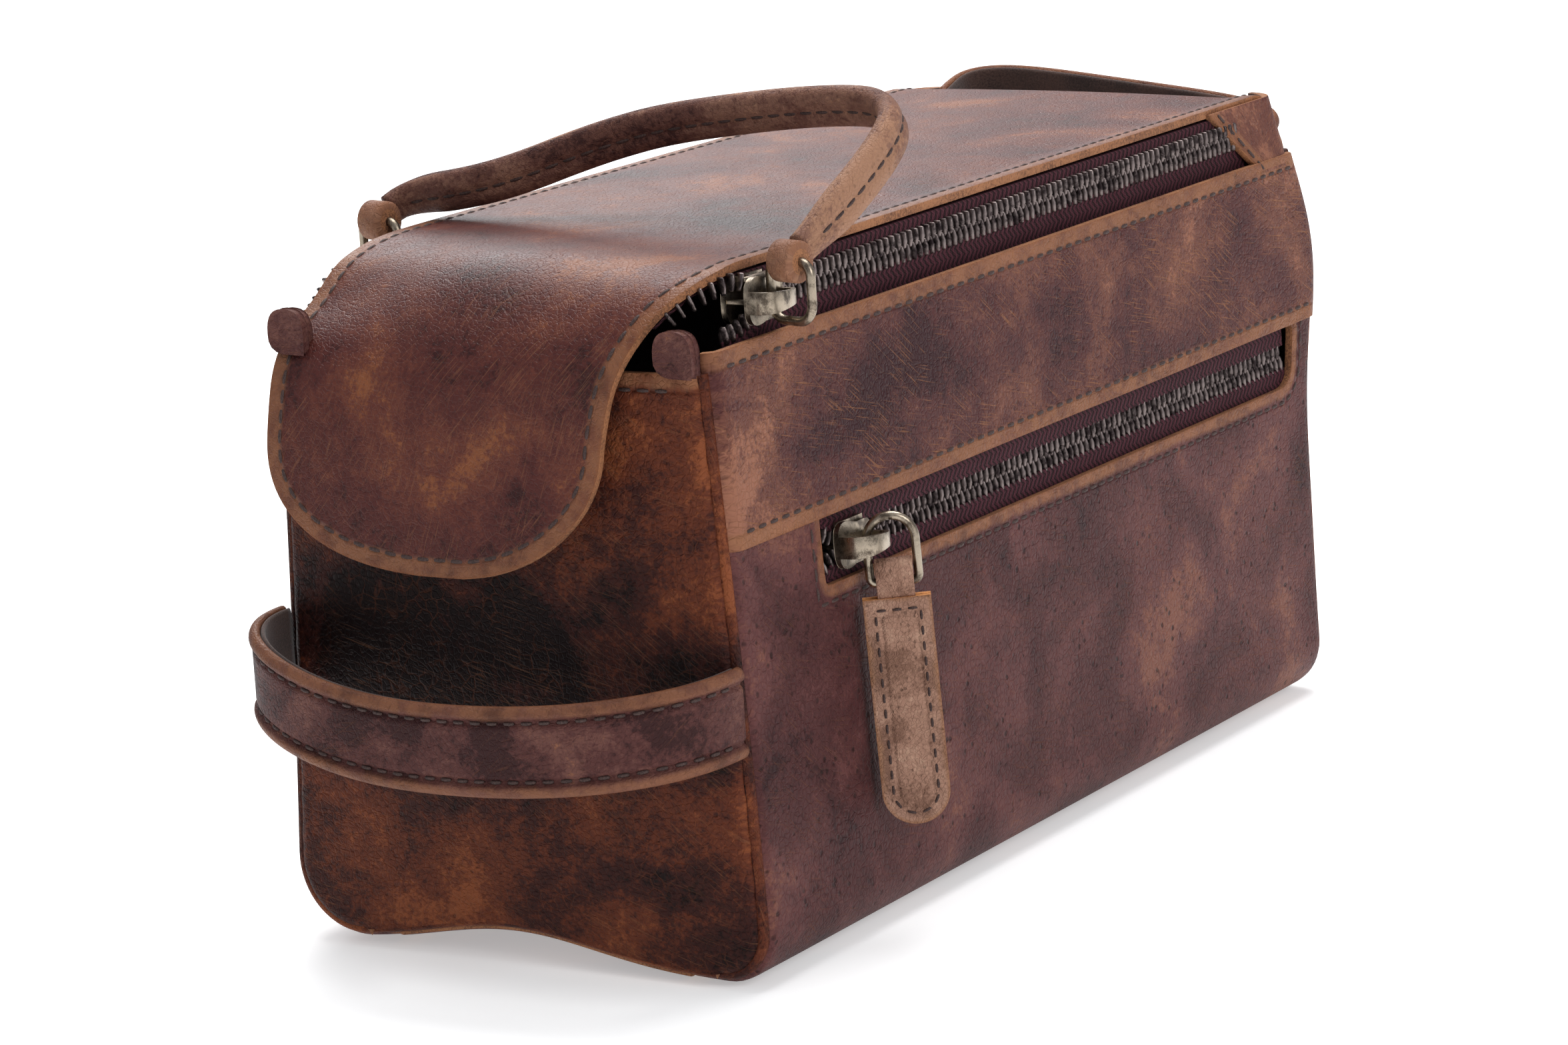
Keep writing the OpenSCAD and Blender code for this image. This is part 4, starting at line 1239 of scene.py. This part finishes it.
PULL_UP = on_pocket(0, 0, 1) - on_pocket(0, 0, 0)
PULL_ACROSS = -axis("pull_tab_swing")
PULL_ACROSS = PULL_ACROSS * np.sign(PULL_ACROSS[0])
PULL_IN = np.cross(PULL_UP, PULL_ACROSS)
PULL_R = 4.85
FRONT_SLIDER_X, BACK_SLIDER_X, POCKET_SLIDER_X = (
    (span(n)[0][0] + span(n)[1][0]) / 2 for n in ("front_slider", "back_slider", "pocket_slider"))
TAB_TOP, TAB_L, TAB_HALF = -11.5, 46.0, 6.8


def pull_face(depth):
    """The plane of one layer of the tab: a across it, b up from the ring's pivot, depth inwards."""
    def f(a, b):
        swell = 0.35 * bell((b - TAB_TOP + TAB_L / 2) / 20) * np.cos(a / 6)
        return (pivot("pocket_ring_swing") + np.multiply.outer(a, PULL_ACROSS) + np.multiply.outer(b, PULL_UP)
                + np.multiply.outer(depth - swell * np.sign(-depth), PULL_IN))
    return f


def tab_outline(inset):
    """Half widths down the tab, its foot round."""
    low, half = TAB_TOP - TAB_L + inset, TAB_HALF - inset
    turn = np.linspace(0, np.pi / 2, 16)
    b = np.r_[np.linspace(TAB_TOP - inset, low + half, 34)[:-1], low + half - half * np.sin(turn)]
    return b, np.r_[np.full(33, half), half * np.cos(turn)]


def pull_tab():
    for name, depth in (("front", -1.75), ("back", 1.75)):
        f = pull_face(depth)
        b, half = tab_outline(0)
        half = np.maximum(half, 0.12)
        a = half[:, None] * steps(-1, 1, 22, 0.3)[None]
        b2 = np.broadcast_to(b[:, None], a.shape)
        grid, uv = f(a, b2), np.stack([a, b2 + (200 if depth < 0 else 260)], -1)
        cut = [f(np.r_[half, -half[::-1]], np.r_[b, b[::-1]]),
               f(np.linspace(-TAB_HALF, TAB_HALF, 20), np.full(20, b[0]))]
        laid(f"tab_{name}_leather", grid, uv, 1.25, (TAB_HIDE, TAB_EDGE, TAB_EDGE), "pull_tab", f"tab_{name}",
             slot="leather_tab", flip=depth > 0, cut=cut)
        b, half = tab_outline(2.3)
        line = np.r_[np.stack([half, b], 1), np.stack([-half, b], 1)[::-1]]
        line = even(np.vstack([line, line[:1]]), 0.4)
        up = np.broadcast_to(PULL_IN * np.sign(depth), (len(line), 3))
        stitches(f"stitches_tab_{name}", f(line[:, 0], line[:, 1]), up, "pull_tab", pitch=3.1, length=2.0,
                 width=0.62, slot="leather_tab")
    loop = rounded([(-0.5, -20), (-0.55, -12), (-2.0, -8.5), (-2.1, -5.6), (-1.2, -4.1), (1.2, -4.1),
                    (2.1, -5.6), (2.0, -8.5), (0.55, -12), (0.5, -20)], 3)
    path = pivot("pocket_ring_swing") + loop[:, :1] * PULL_IN + loop[:, 1:] * PULL_UP
    half_w = 3.75
    strip = [(-half_w, -0.45), (half_w, -0.45), (half_w, 0.45), (-half_w, 0.45)]
    outwards = np.cross(unit(np.gradient(path, axis=0)), PULL_ACROSS)
    obj = tube("tab_loop", path, strip, outwards, [TAB_HIDE], 1.4)
    attach(bevelled(obj, 0.25, 2, 40), "pull_tab", "tab_neck", slot="leather_tab")


# ---------------------------------------------------------------- straps

STRAP_W = 18.0
STRAP_ROW = 5.8               # from a strap's middle to each row of stitches


def strap_profile(way, thick, width, groove=0.0):
    """A strap's section, (out, up); way says which side is its outer face."""
    b = steps(-width / 2, width / 2, 41, 0.35)
    ridge, row = bell((np.abs(b) - 7.3) / 1.3), bell((np.abs(b) - STRAP_ROW) / 0.55)
    round_edge = np.sqrt(np.clip(1 - (np.abs(b) / (width / 2)) ** 24, 0.08, 1))
    face = (thick / 2 + groove * (0.55 * ridge - 0.8 * row)) * round_edge
    rear = -thick / 2 * round_edge
    right, left = (face, rear) if way > 0 else (-rear, -face)
    return np.vstack([np.stack([right, b], 1), np.stack([left, b], 1)[::-1]])


def bow_path(x0, way, root, reach, rise, square, drop):
    """A strap's middle line bowing out from an end of the bag; rise gives its height at each y."""
    turn = np.linspace(0, np.pi, 141)
    power = 2 / square
    y = -root * np.sign(np.cos(turn)) * np.abs(np.cos(turn)) ** power
    bow = np.sin(turn) ** power
    return even(np.stack([x0 + way * reach * bow, y, rise(y) - drop * (1 - bow)], 1), 1.2)


def bow_strap(name, way, shape, bend, nodes, lining_node):
    path = bow_path(way=way, **shape)
    up = np.array([0, 0, 1.0])
    outer = strap_profile(way, 1.9, STRAP_W, 1.0)
    out = way * unit(np.cross(unit(np.gradient(path, axis=0)), up))
    edge = STRAP_W / 2 - np.abs(outer[:, 1])
    attach(tube(f"{name}_leather", path, outer, up, [STRAP_HIDE], edge + 0.4), bend, *nodes,
           slot="leather_strap")
    inner = strap_profile(way, 1.0, STRAP_W - 0.8)
    attach(tube(f"{name}_back", path - 1.5 * out, inner, up, [NAP]), bend, lining_node, slot="leather_strap")
    for row, b in (("high", STRAP_ROW), ("low", -STRAP_ROW)):
        line = path + 0.72 * out + b * up
        stitches(f"stitches_{name}_{row}", line[3:-3], out[3:-3], bend, pitch=3.7, length=2.3)


def straps():
    def carry_rise(y):
        return 51.0 + np.where(y < 0, 4.6, 9.6) * (y / 54) ** 2

    def loop_rise(y):
        return 129.2 + 0.115 * y
    carry = dict(x0=-HALF_L + 1.0, root=53.4, reach=27.4, rise=carry_rise, square=2.7, drop=0.0)
    bow_strap("carry", -1, carry, CARRY_BEND, ("carry_strap", "carry_anchors"), "carry_lining")
    loop = dict(x0=HALF_L + 3.6, root=41.5, reach=19.4, rise=loop_rise, square=4.5, drop=6.0)
    bow_strap("loop", 1, loop, LOOP_BEND, ("hang_loop", "loop_anchors"), "loop_lining")


# ---------------------------------------------------------------- small leather and inside

FACING_X = span("front_facing")[0][0] - 10      # its top corner, under the lid


def facing(side, name):
    """The leather that covers a top zipper's far end and turns onto the far end of the bag."""
    turn_r = 7.0
    turn_x = FAR_X - turn_r - 1.0
    start_x = FACING_X + (10 if side == BACK else 0)        # the back slider runs further
    straight = turn_x - start_x

    def f(a, z):
        start = start_x + 1.15 * np.clip(LID_Z - 2 - z, 0, 14)
        x = start + a * (turn_x - start) / straight
        phi = np.clip((a - straight) / turn_r, 0, np.pi / 2)
        over = a > straight
        out = TOP_HALF + 0.7 - 0.27 * (z - SIDE_H)
        x = np.where(over, turn_x + turn_r * np.sin(phi), x)
        return np.stack([x + 0 * z, side * (out - turn_r * (1 - np.cos(phi))) + 0 * x, z + 0 * a], -1)
    length = straight + turn_r * np.pi / 2
    low, high = SIDE_H - 2.6, LID_Z - 1.6
    a, z = np.meshgrid(np.linspace(0, length, 44), np.linspace(high, low, 20), indexing="ij")
    zs = np.linspace(low, high, 30)
    uv = np.stack([a + HIDE_PART["facing"], z], -1)
    laid(f"{name}_end_facing", f(a, z), uv, HIDE_T, (BAND_HIDE, *HIDES), "bag", f"{name}_facing",
         slot="leather_band", flip=side == FRONT, cut=[f(np.zeros(30), zs)])
    seam(f"stitches_{name}_facing", f, np.full(30, STITCH_IN), zs, "bag", flip=side, slot="leather_band")


def stub(side, name):
    """The folded leather that holds the near ends of a top zipper's tapes."""
    outline = rounded([(-3.9, -4.3), (3.7, -4.1), (4.1, 1.6), (2.2, 4.4), (-2.6, 4.2), (-4.2, 1.2),
                       (-3.9, -4.3)], 2)[:-1]
    place = np.array((-128.6, -45.8, SIDE_H + 0.4) if side == FRONT else (-127.6, 44.8, SIDE_H + 1.2))
    shapes = [placed(prism(outline * grow, low, high), place, (0, 1, 0), (-1, 0, 0), (0, 0, 1))
              for low, high, grow in ((-1.7, -0.05, 0.94), (0.05, 1.9, 1.0))]
    obj = joined(f"{name}_end_stub", shapes, [STRAP_HIDE], 0.6)
    for key, value in (("edge", NO_EDGE), ("wear", -0.03)):
        layer = obj.data.attributes.new(key, "FLOAT", "POINT")
        layer.data.foreach_set("value", np.full(len(obj.data.vertices), value, np.float32))
    attach(obj, "bag", f"{name}_stub", slot="leather_band")


def wall_lining(node, side):
    low, high = span(node)
    deep = max(abs(low[1]), abs(high[1]))

    def f(x, z):
        y = deep - SLOPE * (z - low[2]) - 0.6 + 0.45 * np.sin(x / 19 + z / 27) * np.sin(z / 33)
        y = np.minimum(y, end_reach(side, z) + GROOVE - HIDE_T - 1.4)
        return settle(np.stack([x + 0 * z, side * y + 0 * x, z + 0 * x], -1))
    cloth(node, f, low[0], high[0], low[2], high[2], side == BACK)


def end_lining(node, end):
    low, high = span(node)

    def f(t, z):
        y = t * (high[1] - SLOPE * (z - low[2]) - 0.2)
        x = end * (abs(low[0] + high[0]) / 2 + 0.35 * np.sin(y / 15 + z / 21))
        return settle(np.stack([x + 0 * z, y + 0 * z, z + 0 * t], -1))
    cloth(node, f, -1, 1, low[2], high[2], end < 0)


def cloth(node, f, a0, a1, b0, b1, flip):
    a, b = np.meshgrid(np.linspace(a0, a1, 70), np.linspace(b0, b1, 40), indexing="ij")
    uv = np.stack([a * (50 if a1 == 1 else 1), b], -1)
    laid(f"{node}_cloth", f(a, b), uv, CLOTH_T, (LINING,), "bag", node, slot="lining_cloth", flip=flip)


def floor_layers():
    for node, name, mats, thick, slot in (("base_board", "stiffener", (BOARD,), 1.8, "board"),
                                          ("base_lining", "base_cloth", (LINING,), 0.5, "lining_cloth")):
        low, high = span(node)
        inwards = GROOVE + 2.4
        y0, y1 = inwards - end_reach(FRONT, low[2]), end_reach(BACK, low[2]) - inwards
        x, y = np.meshgrid(np.linspace(low[0] + 1, high[0] - 1, 80), np.linspace(y0, y1, 40), indexing="ij")
        grid = settle(np.stack([x, y, np.full(x.shape, high[2])], -1))
        laid(name, grid, np.stack([x, y], -1), thick, mats, "bag", node, slot=slot)


def pouch():
    """The pocket's bag: a flat cloth sack behind the window."""
    low, high = span("pocket_pouch")
    rings, sides = [], 44
    depths = np.r_[0.0, 0.0, np.linspace(0.06, 1, 12), 1.0]
    for i, d in enumerate(depths):
        shrink = 0.6 if i == 0 else (1 if i < len(depths) - 1 else 0.6)
        turn = np.arange(sides) * 2 * np.pi / sides
        cx, cz = (low[0] + high[0]) / 2, (low[2] + high[2]) / 2
        half_x, half_z = (high[0] - low[0]) / 2, (high[2] - low[2]) / 2
        x = cx + shrink * half_x * np.sign(np.cos(turn)) * np.abs(np.cos(turn)) ** 0.22
        z = cz + shrink * half_z * np.sign(np.sin(turn)) * np.abs(np.sin(turn)) ** 0.22
        y = -(HALF_W - SLOPE * z) + 4.2 + d * (high[1] - low[1] - 7.0) * (0.9 + 0.1 * np.sin(x / 20))
        rings.append(np.stack([x, y, z], 1))
    verts = np.vstack(rings[1:])
    n = len(rings) - 1
    faces = ring_faces(n - 1, sides)
    faces.append(list(range((n - 1) * sides, n * sides))[::-1])
    obj = build("pocket_sack", verts, faces, [LINING], uv=verts[:, [0, 2]])
    thick = obj.modifiers.new("thick", "SOLIDIFY")
    thick.thickness, thick.offset = CLOTH_T * MM, -1
    attach(applied(obj), "bag", "pocket_pouch", slot="lining_cloth")


def metal_nodes():
    """The CAD pocket stops, whose shape is right, get the brass finish."""
    stops = frame["nodes"]["pocket_stops"]
    stops.data.materials.clear()
    stops.data.materials.append(BRASS)


lid_and_tongue()
for zip_side, zip_name in NAME.items():
    top_zip(zip_side, zip_name)
    facing(zip_side, zip_name)
    stub(zip_side, zip_name)
pocket_zip()
hardware()
handle()
pull_tab()
straps()
wall_lining("front_lining", FRONT)
wall_lining("back_lining", BACK)
end_lining("near_lining", -1)
end_lining("far_lining", 1)
floor_layers()
pouch()
metal_nodes()


# ---------------------------------------------------------------- stage and camera

def plain(name, colour, rough, glow=0.0):
    s = Shader(name)
    if glow:
        s.put(s.bsdf.inputs["Emission Color"], colour)
        s.bsdf.inputs["Emission Strength"].default_value = glow
    return s.finish(colour, rough)


def floor():
    size = 9000
    corners = [(-size, -size, -0.4), (size, -size, -0.4), (size, size, -0.4), (-size, size, -0.4)]
    obj = build("floor", corners, [[0, 1, 2, 3]], [plain("pale_floor", (0.86, 0.86, 0.86), 0.9, 0.42)])


LOOK = Vector((0, 0, 0.070))          # the middle of the bag, in metres


def light(name, place, size, power):
    lamp = bpy.data.lights.new(name, "AREA")
    lamp.shape, lamp.size, lamp.energy = "DISK", size, power
    obj = bpy.data.objects.new(name, lamp)
    bpy.context.collection.objects.link(obj)
    obj.location = place
    obj.rotation_euler = (LOOK - Vector(place)).to_track_quat("-Z", "Y").to_euler()


def camera():
    """The camera at the viewing angle of the picture."""
    turn, rise, roll = math.radians(-58.5), math.radians(12.03), math.radians(-3.46)
    reach, shift_right, shift_up = 1.128, -0.0098, -0.0066
    back = Vector((math.sin(turn) * math.cos(rise), -math.cos(turn) * math.cos(rise), math.sin(rise)))
    level = (-back).cross(Vector((0, 0, 1))).normalized()
    rising = level.cross(-back)
    right = math.cos(roll) * level + math.sin(roll) * rising
    up = math.cos(roll) * rising - math.sin(roll) * level
    data = bpy.data.cameras.new("camera")
    data.sensor_width, data.lens = 36, 120
    obj = bpy.data.objects.new("camera", data)
    bpy.context.collection.objects.link(obj)
    place = LOOK + back * reach + level * shift_right + rising * shift_up
    turned = Matrix((right, up, back)).transposed().to_4x4()
    obj.matrix_world = Matrix.Translation(place) @ turned
    bpy.context.scene.camera = obj


def studio():
    world = bpy.data.worlds.new("studio")
    world.use_nodes = True
    world.node_tree.nodes["Background"].inputs[0].default_value = (0.93, 0.95, 1.0, 1)
    world.node_tree.nodes["Background"].inputs[1].default_value = 0.42
    bpy.context.scene.world = world
    bpy.context.scene.view_settings.view_transform = "Standard"
    floor()
    light("overhead", (0.35, 0.15, 1.5), 1.3, 26)
    light("pocket_side", (-0.55, -1.5, 0.95), 1.0, 11)
    light("rim", (1.2, 1.0, 1.0), 0.9, 10)


studio()
camera()
